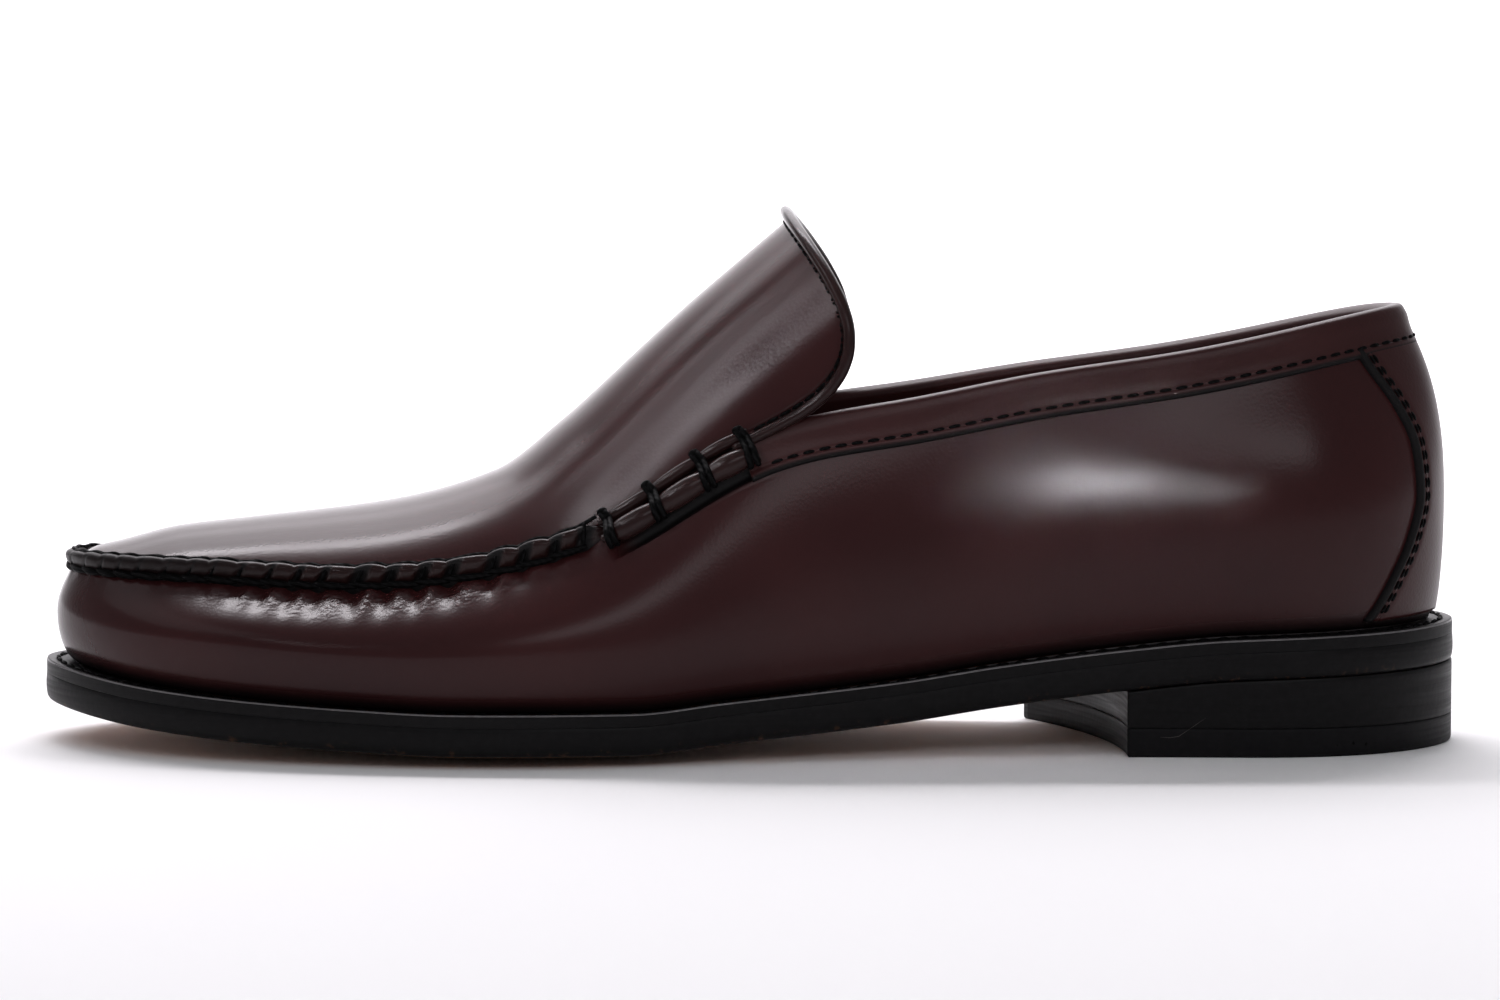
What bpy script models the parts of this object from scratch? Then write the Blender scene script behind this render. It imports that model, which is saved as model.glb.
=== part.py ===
"""A venetian loafer, left shoe, as separate solids.

The shoe lies along X with the toe at minus X, the outer side at minus Y and the floor at Z = 0.
The tables are in millimetres. Every form is worked out from the sections of one last.
"""
import math
from collections import namedtuple

import bpy
import numpy as np

MM = 0.001

# Thicknesses and gaps
GAP = 0.35
UPPER_WALL = 2.0
OUTSOLE_THICK = 5.8
WELT_THICK = 2.65
WELT_INSIDE = 3.0
INSOLE_THICK = 4.6
TOP_PIECE_THICK = 6.0
BAND_THICK = 1.0
BAND_DEPTH = 8.7
BINDING_THICK = 0.9
BINDING_DEPTH = 2.6
STRAP_THICK = 1.0
STRAP_GAP = 0.5
RIDGE_HEIGHT = 3.4
LOWER_ROLL_RADIUS = 2.4
UPPER_ROLL_RADIUS = 1.4
ROLL_PART = {"lower": 0.9, "upper": 0.1}
FLOOR_CROWN_REACH = 32.0

# How finely the last is sampled
SEAM_STEPS = 22
COLLAR_STEPS = 18
RIDGE_END = 18.6
ROLL_START = 19
APRON_HALF_STEPS = 6
LOWER_WALL_STEPS = 3
UPPER_WALL_SHARES = (0.24, 0.48, 0.70, 0.87)
SEAM_ROWS = (2.0, 1.0, 0.0)
WALL_START_DEG = 18.0
CROWDING = 1.3

# One section of the last a row, from the toe tip back along the outer side, round the heel and forward
# along the inner side. foot_x, foot_y: where the upper meets the welt. margin: welt outside of that.
# bulge, belly: how far the wall swells out and how high above the welt. top_x, top_y, top_z: apron seam
# or collar edge. lean: how far the wall tips inwards there, in degrees.
Section = namedtuple("Section", "foot_x foot_y margin bulge belly top_x top_y top_z lean")
SECTIONS = (
    Section(-144.5, 3.0, 5.5, 2.6, 10.0, -144.0, 3.0, 38.2, 18.0),
    Section(-135.5, -17.0, 5.5, 2.8, 10.0, -134.5, -14.0, 37.9, 30.0),
    Section(-114.0, -33.5, 5.5, 3.0, 11.0, -108.5, -24.5, 36.9, 45.0),
    Section(-82.0, -43.8, 5.5, 3.2, 11.0, -76.0, -32.0, 36.4, 52.0),
    Section(-48.0, -47.3, 5.5, 3.2, 12.0, -45.0, -35.0, 41.2, 52.0),
    Section(-21.0, -44.0, 5.2, 3.2, 13.0, -24.0, -35.0, 50.6, 44.0),
    Section(6.0, -38.0, 4.8, 3.4, 15.0, 1.0, -33.5, 66.2, 32.0),
    Section(34.0, -32.6, 4.4, 3.6, 17.0, 31.0, -30.5, 72.9, 20.0),
    Section(62.0, -29.8, 4.2, 3.8, 19.0, 59.0, -28.0, 78.2, 14.0),
    Section(92.0, -29.4, 4.4, 3.8, 21.0, 89.0, -25.8, 82.6, 13.0),
    Section(120.0, -27.8, 4.8, 3.2, 23.0, 115.0, -20.8, 87.6, 16.0),
    Section(137.5, -17.0, 5.0, 2.6, 25.0, 131.0, -11.3, 90.6, 24.0),
    Section(145.0, 0.0, 5.0, 2.0, 25.0, 137.4, 0.0, 91.4, 30.0),
    Section(137.5, 17.0, 5.0, 2.6, 25.0, 131.0, 11.3, 90.4, 24.0),
    Section(120.0, 27.5, 4.8, 3.2, 23.0, 115.0, 20.6, 86.6, 16.0),
    Section(92.0, 27.8, 4.4, 4.0, 21.0, 89.0, 25.0, 81.3, 13.0),
    Section(62.0, 26.2, 4.0, 5.0, 19.0, 59.0, 26.8, 77.0, 14.0),
    Section(34.0, 27.5, 4.0, 5.4, 18.0, 31.0, 29.0, 72.4, 18.0),
    Section(6.0, 33.5, 4.4, 4.6, 16.0, 1.0, 32.0, 66.2, 28.0),
    Section(-22.0, 41.0, 5.0, 3.8, 14.0, -24.0, 35.0, 51.4, 42.0),
    Section(-50.0, 45.8, 5.5, 3.2, 12.0, -45.0, 35.5, 42.0, 52.0),
    Section(-82.0, 45.6, 5.5, 3.0, 11.0, -76.0, 33.5, 37.0, 52.0),
    Section(-113.0, 37.0, 5.5, 3.0, 11.0, -108.5, 27.8, 37.0, 45.0),
    Section(-135.5, 22.0, 5.5, 2.8, 10.0, -134.5, 18.8, 37.9, 30.0),
)
TOE_TIP, OUTER_THROAT, HEEL_BACK, INNER_THROAT = 0, 6, 12, 18

# Underside of the sole: height of its middle over the floor, and how far its edge curls above that.
Underside = namedtuple("Underside", "x middle edge_rise")
UNDERSIDE = (
    Underside(-150.0, 8.6, 0.0),
    Underside(-127.0, 4.8, 1.2),
    Underside(-107.0, 2.6, 2.0),
    Underside(-82.0, 0.8, 2.6),
    Underside(-60.0, 0.0, 2.7),
    Underside(-24.0, 0.0, 2.6),
    Underside(-6.0, 1.8, 2.4),
    Underside(31.0, 6.2, 1.4),
    Underside(52.0, 9.8, 0.8),
    Underside(78.0, 13.6, 0.2),
    Underside(102.0, 16.0, 0.0),
    Underside(150.0, 17.3, 0.0),
)

# Middle line of the apron: the seam place at its side, the point of the ridge that belongs to it, and
# how far round the row bends from the ridge to the seam, in degrees.
Crest = namedtuple("Crest", "seam_x ridge_x ridge_y ridge_z wrap")
CREST = (
    Crest(-144.0, -144.0, 3.0, 38.2, 50.0),
    Crest(-139.0, -139.5, 3.0, 40.6, 52.0),
    Crest(-134.5, -134.0, 3.0, 42.0, 54.0),
    Crest(-122.0, -121.5, 3.2, 45.1, 58.0),
    Crest(-108.5, -108.0, 3.4, 46.7, 60.0),
    Crest(-76.0, -77.0, 3.6, 50.5, 62.0),
    Crest(-45.0, -54.5, 3.4, 56.8, 68.0),
    Crest(-24.0, -39.5, 3.0, 68.0, 76.0),
    Crest(1.0, -17.5, 2.0, 88.6, 84.0),
)

# Free part of the tongue: distance up the ridge from the throat, and how much of the wrap the row covers.
TongueRow = namedtuple("TongueRow", "along cover")
TONGUE = (
    TongueRow(5.0, 1.03),
    TongueRow(11.0, 1.05),
    TongueRow(17.0, 1.04),
    TongueRow(22.0, 1.01),
    TongueRow(26.0, 0.96),
    TongueRow(29.5, 0.89),
    TongueRow(32.3, 0.80),
    TongueRow(34.3, 0.68),
)
TONGUE_RISE = (26.3, 0.0, 22.3)

# Breast of the heel, outer to inner, and how far its middle is hollowed towards the back.
BREAST_OUTER_X = 78.8
BREAST_INNER_X = 60.2
BREAST_HOLLOW = 4.6

# Back strap: half the girth it covers at each share of the wall's height.
StrapRow = namedtuple("StrapRow", "share half_girth")
STRAP = (
    StrapRow(0.06, 29.0),
    StrapRow(0.16, 25.0),
    StrapRow(0.28, 20.5),
    StrapRow(0.42, 17.5),
    StrapRow(0.56, 18.0),
    StrapRow(0.70, 21.0),
    StrapRow(0.83, 25.0),
)
STRAP_HALF_STEPS = 5


def soft_table(xs, ys, at):
    """A smooth curve through a table that never overshoots it."""
    xs = np.asarray(xs, float)
    ys = np.asarray(ys, float)
    step = np.diff(xs)
    rise = np.diff(ys) / step
    slope = np.zeros_like(ys)
    slope[0] = rise[0]
    slope[-1] = rise[-1]
    for i in range(1, len(xs) - 1):
        if rise[i - 1] * rise[i] > 0.0:
            slope[i] = 2.0 * rise[i - 1] * rise[i] / (rise[i - 1] + rise[i])
    at = np.clip(np.asarray(at, float), xs[0], xs[-1])
    i = np.clip(np.searchsorted(xs, at, side="right") - 1, 0, len(xs) - 2)
    f = (at - xs[i]) / step[i]
    start = ys[i] * (1 + 2 * f) * (1 - f) ** 2 + slope[i] * step[i] * f * (1 - f) ** 2
    end = ys[i + 1] * f ** 2 * (3 - 2 * f) + slope[i + 1] * step[i] * f ** 2 * (f - 1)
    return start + end


def ring_spline(knots, lap, values, at):
    """A smooth closed curve through the rows of values; gives its points and its slopes."""
    n = len(knots)
    gap = np.diff(np.append(knots, knots[0] + lap))
    matrix = np.zeros((n, n))
    right = np.zeros_like(values)
    for i in range(n):
        before, after = gap[i - 1], gap[i]
        matrix[i, i - 1] += 1.0 / before
        matrix[i, i] += 2.0 / before + 2.0 / after
        matrix[i, (i + 1) % n] += 1.0 / after
        right[i] = 3.0 * (values[i] - values[i - 1]) / before ** 2
        right[i] += 3.0 * (values[(i + 1) % n] - values[i]) / after ** 2
    slope = np.linalg.solve(matrix, right)
    at = np.mod(at, lap)
    i = np.clip(np.searchsorted(knots, at, side="right") - 1, 0, n - 1)
    j = (i + 1) % n
    h = gap[i][:, None]
    f = ((at - knots[i]) / gap[i])[:, None]
    point = values[i] * (1 + 2 * f) * (1 - f) ** 2 + slope[i] * h * f * (1 - f) ** 2
    point = point + values[j] * f ** 2 * (3 - 2 * f) + slope[j] * h * f ** 2 * (f - 1)
    rate = (values[j] - values[i]) * 6 * f * (1 - f) / h
    rate = rate + slope[i] * (1 - f) * (1 - 3 * f) + slope[j] * f * (3 * f - 2)
    return point, rate


def underside(x, inset):
    """Height of the sole's underside at x, at a distance inside its edge."""
    xs = [row.x for row in UNDERSIDE]
    middle = soft_table(xs, [row.middle for row in UNDERSIDE], x)
    rise = soft_table(xs, [row.edge_rise for row in UNDERSIDE], x)
    return middle + rise * np.clip(1.0 - np.asarray(inset, float) / FLOOR_CROWN_REACH, 0.0, 1.0) ** 2


class Last:
    """The sections of the shoe, read at every column round it."""

    def __init__(self):
        table = np.array(SECTIONS)
        chord = np.linalg.norm(np.roll(table[:, :2], -1, axis=0) - table[:, :2], axis=1)
        self.knots = np.concatenate([[0.0], np.cumsum(chord)[:-1]])
        self.lap = float(chord.sum())
        self.table = table
        marks = [self.knots[TOE_TIP], self.knots[OUTER_THROAT], self.knots[HEEL_BACK]]
        marks += [self.knots[INNER_THROAT], self.lap]
        counts = (SEAM_STEPS, COLLAR_STEPS, COLLAR_STEPS, SEAM_STEPS)
        stops = []
        for leg, count in enumerate(counts):
            start, end = marks[leg], marks[leg + 1]
            for i in range(count):
                # the columns crowd together towards the toe tip and the heel back
                share = i / count
                if leg % 2 == 0:
                    share = share ** CROWDING
                else:
                    share = 1.0 - (1.0 - share) ** CROWDING
                stops.append(start + (end - start) * share)
        self.stops = np.array(stops)
        self.count = len(stops)
        self.read(self.stops)

    def read(self, stops):
        values, rates = ring_spline(self.knots, self.lap, self.table, stops)
        plan, along = values[:, :2], rates[:, :2]
        along = along / np.linalg.norm(along, axis=1)[:, None]
        self.plan = plan
        self.out = np.stack([along[:, 1], -along[:, 0]], axis=1)
        self.margin = values[:, 2]
        self.bulge = values[:, 3]
        self.belly = values[:, 4]
        self.top = values[:, 5:8]
        self.lean = np.radians(values[:, 8])

    def outline(self, beyond_foot):
        """Plan outline at a distance outside the line where the upper meets the welt."""
        return self.plan + self.out * np.reshape(beyond_foot, (-1, 1))

    def edge(self):
        """Plan outline of the sole."""
        return self.outline(self.margin)


def wall_grid(last):
    """Outer face of the wall: columns round the shoe, rows from the welt to the top line."""
    up = np.array([0.0, 0.0, 1.0])
    foot_z = underside(last.plan[:, 0], last.margin) + OUTSOLE_THICK + GAP + WELT_THICK + GAP
    foot = np.column_stack([last.plan, foot_z])
    out = np.column_stack([last.out, np.zeros(last.count)])
    rows = []
    start = math.radians(WALL_START_DEG)
    for i in range(LOWER_WALL_STEPS + 1):
        turn = start + (math.pi / 2 - start) * i / LOWER_WALL_STEPS
        across = (math.sin(turn) - math.sin(start)) / (1.0 - math.sin(start))
        rise = (math.cos(start) - math.cos(turn)) / math.cos(start)
        rows.append(foot + out * (last.bulge * across)[:, None] + up * (last.belly * rise)[:, None])
    belly = rows[-1]
    inward = last.top - belly
    inward[:, 2] = 0.0
    inward = inward / np.linalg.norm(inward, axis=1)[:, None]
    arrive = up * np.cos(last.lean)[:, None] + inward * np.sin(last.lean)[:, None]
    reach = np.linalg.norm(last.top - belly, axis=1)[:, None]
    first = belly + up * (0.42 * (last.top[:, 2] - belly[:, 2]))[:, None]
    second = last.top - arrive * reach * 0.36

    def curve(f):
        f = np.reshape(f, (-1, 1))
        whole = belly * (1 - f) ** 3 + 3 * first * f * (1 - f) ** 2
        return whole + 3 * second * f ** 2 * (1 - f) + last.top * f ** 3

    final_rate = 3.0 * np.linalg.norm(last.top - second, axis=1)
    band = np.maximum(1.0 - BAND_DEPTH / final_rate, 0.6)
    for share in UPPER_WALL_SHARES:
        rows.append(curve(share * band))
    rows.append(curve(band))
    for depth in SEAM_ROWS:
        rows.append(curve(1.0 - depth / final_rate))
    return np.stack(rows, axis=1)


def apron_rows(last):
    """Apron and tongue: rows from the outer to the inner side, toe to the top of the tongue."""
    keys = [row.seam_x for row in CREST]
    shares = [1.0 - i / APRON_HALF_STEPS for i in range(APRON_HALF_STEPS + 1)]
    rows = []

    def row_points(ridge, left, right, wrap, cover):
        half = {}
        for side, end in (("left", left), ("right", right)):
            reach = max(np.linalg.norm(end - ridge), 4.0 * SEAM_ROWS[0])
            places = [cover * s for s in shares]
            places[1:1] = [cover - SEAM_ROWS[1] / reach, cover - SEAM_ROWS[0] / reach]
            points = []
            for place in places:
                turn = wrap * place
                across = math.sin(turn) / math.sin(wrap)
                fall = (1.0 - math.cos(turn)) / (1.0 - math.cos(wrap))
                move = end - ridge
                points.append(ridge + np.array([move[0] * fall, move[1] * across, move[2] * fall]))
            half[side] = points
        return np.array(half["left"] + half["right"][-2::-1])

    for k in range(SEAM_STEPS + 1):
        left = last.top[k]
        right = last.top[-k] if k else last.top[0]
        key = 0.5 * (left[0] + right[0])
        ridge = np.array([float(soft_table(keys, [row[i] for row in CREST], key)) for i in (1, 2, 3)])
        wrap = math.radians(float(soft_table(keys, [row.wrap for row in CREST], key)))
        rows.append(row_points(ridge, left, right, wrap, 1.0))
    rise = np.array(TONGUE_RISE)
    rise = rise / np.linalg.norm(rise)
    for row in TONGUE:
        move = rise * row.along
        rows.append(row_points(ridge + move, left + move, right + move, wrap, row.cover))
    return rows


class Skin:
    """The outer face of the upper as one net of points, with its normals."""

    def __init__(self, last):
        wall = wall_grid(last)
        apron = apron_rows(last)
        self.columns, self.rows = wall.shape[0], wall.shape[1]
        points = [p for column in wall for p in column]
        self.net = []
        top = self.rows - 1
        for k, row in enumerate(apron):
            ids = []
            for m, p in enumerate(row):
                on_left = m == 0 and k <= SEAM_STEPS
                on_right = m == len(row) - 1 and k <= SEAM_STEPS
                if k == 0:
                    ids.append(self.wall_id(0, top))
                elif on_left:
                    ids.append(self.wall_id(k, top))
                elif on_right:
                    ids.append(self.wall_id(self.columns - k, top))
                else:
                    points.append(p)
                    ids.append(len(points) - 1)
            self.net.append(ids)
        faces = []
        for c in range(self.columns):
            for r in range(top):
                faces.append((self.wall_id(c, r), self.wall_id(c + 1, r),
                              self.wall_id(c + 1, r + 1), self.wall_id(c, r + 1)))
        for low, high in zip(self.net, self.net[1:]):
            for m in range(len(low) - 1):
                faces.append((low[m], high[m], high[m + 1], low[m + 1]))
        self.points = np.array(points)
        self.faces = clean_faces(faces)
        self.normals = net_normals(self.points, self.faces)

    def wall_id(self, column, row):
        return (column % self.columns) * self.rows + row

    def off(self, index, distance):
        return self.points[index] + self.normals[index] * distance


def clean_faces(faces):
    """Faces with repeated corners taken out."""
    kept = []
    for face in faces:
        corners = []
        for corner in face:
            if corner not in corners:
                corners.append(corner)
        if len(corners) > 2:
            kept.append(tuple(corners))
    return kept


def net_normals(points, faces):
    """Normal of each point of a net, weighted by the area of the faces round it."""
    normals = np.zeros_like(points)
    for face in faces:
        p = points[list(face)]
        area = np.zeros(3)
        for i in range(1, len(face) - 1):
            area += np.cross(p[i] - p[0], p[i + 1] - p[0])
        for corner in face:
            normals[corner] += area
    return normals / np.linalg.norm(normals, axis=1)[:, None]


def outward(points, faces):
    """The faces of a closed solid, all turned to look out of it."""
    volume = 0.0
    for face in faces:
        p = points[list(face)]
        for i in range(1, len(face) - 1):
            volume += np.dot(p[0], np.cross(p[i], p[i + 1]))
    return faces if volume > 0.0 else [tuple(reversed(face)) for face in faces]


def make_object(name, points, faces, finish):
    faces = outward(points, faces)
    mesh = bpy.data.meshes.new(name)
    mesh.from_pydata([tuple(p * MM) for p in np.asarray(points)], [], faces)
    mesh.update()
    piece = bpy.data.objects.new(name, mesh)
    bpy.context.collection.objects.link(piece)
    material = bpy.data.materials.new(name)
    material.use_nodes = True
    shader = material.node_tree.nodes["Principled BSDF"]
    shader.inputs["Base Color"].default_value = finish[0]
    shader.inputs["Roughness"].default_value = finish[1]
    mesh.materials.append(material)
    return piece


def solid_between(name, outer, inner, faces, finish):
    """A closed solid between two faces of one net."""
    count = len(outer)
    edges = {}
    for face in faces:
        for a, b in zip(face, face[1:] + face[:1]):
            edges[(a, b)] = True
    whole = list(faces)
    whole += [tuple(corner + count for corner in reversed(face)) for face in faces]
    for a, b in edges:
        if (b, a) not in edges:
            whole.append((b, a, a + count, b + count))
    return make_object(name, np.concatenate([outer, inner]), whole, finish)


def swept(name, rings, finish, closed=False):
    """A closed solid through rings of points, each going the same way round."""
    size = len(rings[0])
    points = np.concatenate(rings)
    faces = []
    laps = len(rings) if closed else len(rings) - 1
    for i in range(laps):
        j = (i + 1) % len(rings)
        for a in range(size):
            b = (a + 1) % size
            faces.append((i * size + a, j * size + a, j * size + b, i * size + b))
    if not closed:
        faces.append(tuple(range(size)))
        faces.append(tuple((len(rings) - 1) * size + a for a in reversed(range(size))))
    return make_object(name, points, faces, finish)


def plate_net(left, right, steps):
    """Rows across a plate from paired edge points; gives points, insets from the edge and faces."""
    points, insets, net = [], [], []
    for a, b in zip(left, right):
        single = np.linalg.norm(a - b) < 0.001
        ids = []
        for i in range(steps + 1):
            if single and i:
                ids.append(ids[0])
                continue
            share = i / steps
            points.append(a + (b - a) * share)
            insets.append(np.linalg.norm(b - a) * min(share, 1.0 - share))
            ids.append(len(points) - 1)
        net.append(ids)
    faces = []
    for low, high in zip(net, net[1:]):
        for m in range(steps):
            faces.append((low[m], high[m], high[m + 1], low[m + 1]))
    return np.array(points), np.array(insets), clean_faces(faces)


def paired(outline):
    """Outer and inner points of an outline, toe tip to heel back."""
    half = len(outline) // 2
    left = outline[:half + 1]
    right = np.array([outline[-k] if k else outline[0] for k in range(half + 1)])
    return left, right


def build_sole(last, finish):
    left, right = paired(last.edge())
    plan, inset, faces = plate_net(left, right, 6)
    low = underside(plan[:, 0], inset)
    bottom = np.column_stack([plan, low])
    top = np.column_stack([plan, low + OUTSOLE_THICK])
    solid_between("outsole", top, bottom, faces, finish["sole"])

    edge = last.edge()
    hole = last.outline(-WELT_INSIDE)
    low_edge = underside(edge[:, 0], 0.0) + OUTSOLE_THICK + GAP
    low_hole = underside(hole[:, 0], last.margin + WELT_INSIDE) + OUTSOLE_THICK + GAP
    rings = []
    for i in range(last.count):
        rings.append(np.array([
            [edge[i, 0], edge[i, 1], low_edge[i]],
            [edge[i, 0], edge[i, 1], low_edge[i] + WELT_THICK],
            [hole[i, 0], hole[i, 1], low_hole[i] + WELT_THICK],
            [hole[i, 0], hole[i, 1], low_hole[i]],
        ]))
    swept("welt", rings, finish["welt"], closed=True)

    left, right = paired(last.outline(-WELT_INSIDE - GAP))
    plan, inset, faces = plate_net(left, right, 4)
    low = underside(plan[:, 0], inset + WELT_INSIDE + 5.5) + OUTSOLE_THICK + GAP
    bottom = np.column_stack([plan, low])
    top = np.column_stack([plan, low + INSOLE_THICK])
    solid_between("insole", top, bottom, faces, finish["insole"])


def build_heel(last, finish):
    edge = last.edge()
    half = last.count // 2
    outer = edge[:half + 1]
    inner = np.array([edge[-k] if k else edge[0] for k in range(half + 1)])

    def run(side, start_x, count):
        """Edge points from the breast to the back of the heel, evenly spaced."""
        x = side[:, 0]
        first = int(np.argmax(x > start_x))
        share = (start_x - x[first - 1]) / (x[first] - x[first - 1])
        path = np.vstack([side[first - 1] + (side[first] - side[first - 1]) * share, side[first:]])
        length = np.concatenate([[0.0], np.cumsum(np.linalg.norm(np.diff(path, axis=0), axis=1))])
        at = np.linspace(0.0, length[-1], count)
        return np.column_stack([np.interp(at, length, path[:, 0]), np.interp(at, length, path[:, 1])])

    rows = 13
    left = run(outer, BREAST_OUTER_X, rows)
    right = run(inner, BREAST_INNER_X, rows)
    steps = 6
    plan, _, faces = plate_net(left, right, steps)
    for k in range(rows - 1):
        for m in range(steps + 1):
            across = 2.0 * m / steps - 1.0
            fade = (1.0 - k / (rows - 1.0)) ** 2
            plan[k * (steps + 1) + m, 0] += BREAST_HOLLOW * (1.0 - across ** 2) * fade
    floor = np.column_stack([plan, np.zeros(len(plan))])
    lift = np.column_stack([plan, np.full(len(plan), TOP_PIECE_THICK)])
    solid_between("heel_top_piece", lift, floor, faces, finish["top_piece"])
    seat = np.column_stack([plan, underside(plan[:, 0], FLOOR_CROWN_REACH) - GAP])
    base = lift + np.array([0.0, 0.0, GAP])
    solid_between("heel_stack", seat, base, faces, finish["heel"])


def build_upper(skin, finish):
    relief = np.zeros(len(skin.points))
    top = skin.rows - 1

    def fade(k):
        return min(1.0, max(0.0, (RIDGE_END - k) / 1.2))

    for k in range(SEAM_STEPS + 1):
        height = RIDGE_HEIGHT * fade(k)
        for column in (k, skin.columns - k):
            relief[skin.wall_id(column, top)] = height
            relief[skin.wall_id(column, top - 1)] = height
        if k:
            relief[skin.net[k][1]] = height
            relief[skin.net[k][-2]] = height
    outer = skin.points + skin.normals * relief[:, None]
    inner = skin.points - skin.normals * UPPER_WALL
    solid_between("upper", outer, inner, skin.faces, finish["upper"])


def edge_ring(point, normal, away, deep_out, deep_in, thick):
    """Section of a folded edge: over the rim at point, down its outer and inner faces."""
    inside = -(UPPER_WALL + GAP)
    return np.array([
        deep_out + normal * GAP,
        deep_out + normal * (GAP + thick),
        point + normal * (GAP + thick),
        point + normal * 0.4 + away * (GAP + thick),
        point + normal * (-UPPER_WALL - 0.4) + away * (GAP + thick),
        point + normal * (inside - thick),
        deep_in + normal * (inside - thick),
        deep_in + normal * inside,
        point + normal * inside + away * GAP,
        point + normal * GAP + away * GAP,
    ])


def build_edges(skin, finish):
    top = skin.rows - 1
    deep_row = top - len(SEAM_ROWS)
    first, last_column = SEAM_STEPS + 1, skin.columns - SEAM_STEPS - 1
    rings = []
    for c in range(first, last_column + 1):
        rim, deep = skin.wall_id(c, top), skin.wall_id(c, deep_row)
        normal = skin.normals[rim]
        away = skin.points[rim] - skin.points[skin.wall_id(c, top - 2)]
        away = away / np.linalg.norm(away)
        ring = edge_ring(skin.points[rim], normal, away, skin.points[deep], skin.points[deep], BAND_THICK)
        ring[0] = skin.off(deep, GAP)
        ring[1] = skin.off(deep, GAP + BAND_THICK)
        ring[6] = skin.off(deep, -UPPER_WALL - GAP - BAND_THICK)
        ring[7] = skin.off(deep, -UPPER_WALL - GAP)
        rings.append(ring)
    swept("collar_band", rings, finish["trim"])

    tongue = skin.net[SEAM_STEPS + 1:]
    sides = tongue[2:]
    border = [row[0] for row in sides] + tongue[-1][1:-1] + [row[-1] for row in reversed(sides)]
    places = skin.points[border]
    along = np.gradient(places, axis=0)
    rings = []
    for i, vertex in enumerate(border):
        normal = skin.normals[vertex]
        away = np.cross(along[i], normal)
        away = away / np.linalg.norm(away)
        deep = places[i] - away * BINDING_DEPTH
        rings.append(edge_ring(places[i], normal, away, deep, deep, BINDING_THICK))
    swept("tongue_binding", rings, finish["trim"])


def build_rolls(skin, finish):
    top = skin.rows - 1
    first = ROLL_START
    for side in ("outer", "inner"):
        for name, radius in (("lower", LOWER_ROLL_RADIUS), ("upper", UPPER_ROLL_RADIUS)):
            spine, lift = [], []
            for k in range(first, SEAM_STEPS + 1):
                column = k if side == "outer" else skin.columns - k
                seam = skin.wall_id(column, top)
                if name == "lower":
                    near = skin.wall_id(column, top - 2)
                else:
                    near = skin.net[k][2] if side == "outer" else skin.net[k][-3]
                step = skin.points[near] - skin.points[seam]
                step = step / np.linalg.norm(step)
                place = skin.points[seam] + step * (radius + ROLL_PART[name])
                normal = skin.normals[seam] + skin.normals[near]
                normal = normal / np.linalg.norm(normal)
                spine.append(place + normal * (radius + GAP))
                lift.append(normal)
            spine = np.array(spine)
            along = np.gradient(spine, axis=0)
            rings = []
            for place, normal, run in zip(spine, lift, along):
                across = np.cross(run, normal)
                across = across / np.linalg.norm(across)
                ring = []
                for i in range(8):
                    turn = 2.0 * math.pi * i / 8
                    ring.append(place + radius * (normal * math.cos(turn) + across * math.sin(turn)))
                rings.append(np.array(ring))
            swept(side + "_" + name + "_roll", rings, finish["trim"])


def build_strap(finish):
    """Back strap, laid on the same last with its own columns."""
    last = Last()
    middle = last.knots[HEEL_BACK]
    steps = 2 * STRAP_HALF_STEPS
    half = max(row.half_girth for row in STRAP)
    last.stops = middle + np.linspace(-half, half, 4 * STRAP_HALF_STEPS + 1)
    last.count = len(last.stops)
    last.read(last.stops)
    grid = wall_grid(last)
    girth = last.stops - middle
    levels = np.array([column_shares(column) for column in grid])
    points, net = [], []
    for row in STRAP:
        ids = []
        for i in range(steps + 1):
            place = row.half_girth * (2.0 * i / steps - 1.0)
            at = []
            for c in range(last.count):
                at.append([np.interp(row.share, levels[c], grid[c, :, axis]) for axis in range(3)])
            at = np.array(at)
            points.append([np.interp(place, girth, at[:, axis]) for axis in range(3)])
            ids.append(len(points) - 1)
        net.append(ids)
    faces = []
    for low, high in zip(net, net[1:]):
        for m in range(steps):
            faces.append((low[m], low[m + 1], high[m + 1], high[m]))
    points = np.array(points)
    normals = net_normals(points, faces)
    outer = points + normals * (STRAP_GAP + STRAP_THICK)
    inner = points + normals * STRAP_GAP
    solid_between("heel_strap", outer, inner, faces, finish["trim"])


def column_shares(column):
    """Share of a wall column's length at each of its rows."""
    length = np.concatenate([[0.0], np.cumsum(np.linalg.norm(np.diff(column, axis=0), axis=1))])
    return length / length[-1]


def centre_all():
    """The middle of the shoe's box over the origin, its lowest face on the floor."""
    low = np.full(3, 1e9)
    high = -low
    for piece in bpy.data.objects:
        places = np.array([v.co for v in piece.data.vertices])
        low = np.minimum(low, places.min(axis=0))
        high = np.maximum(high, places.max(axis=0))
    shift = np.array([(low[0] + high[0]) / 2, (low[1] + high[1]) / 2, low[2]])
    for piece in bpy.data.objects:
        for v in piece.data.vertices:
            v.co = v.co - type(v.co)(shift)


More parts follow.
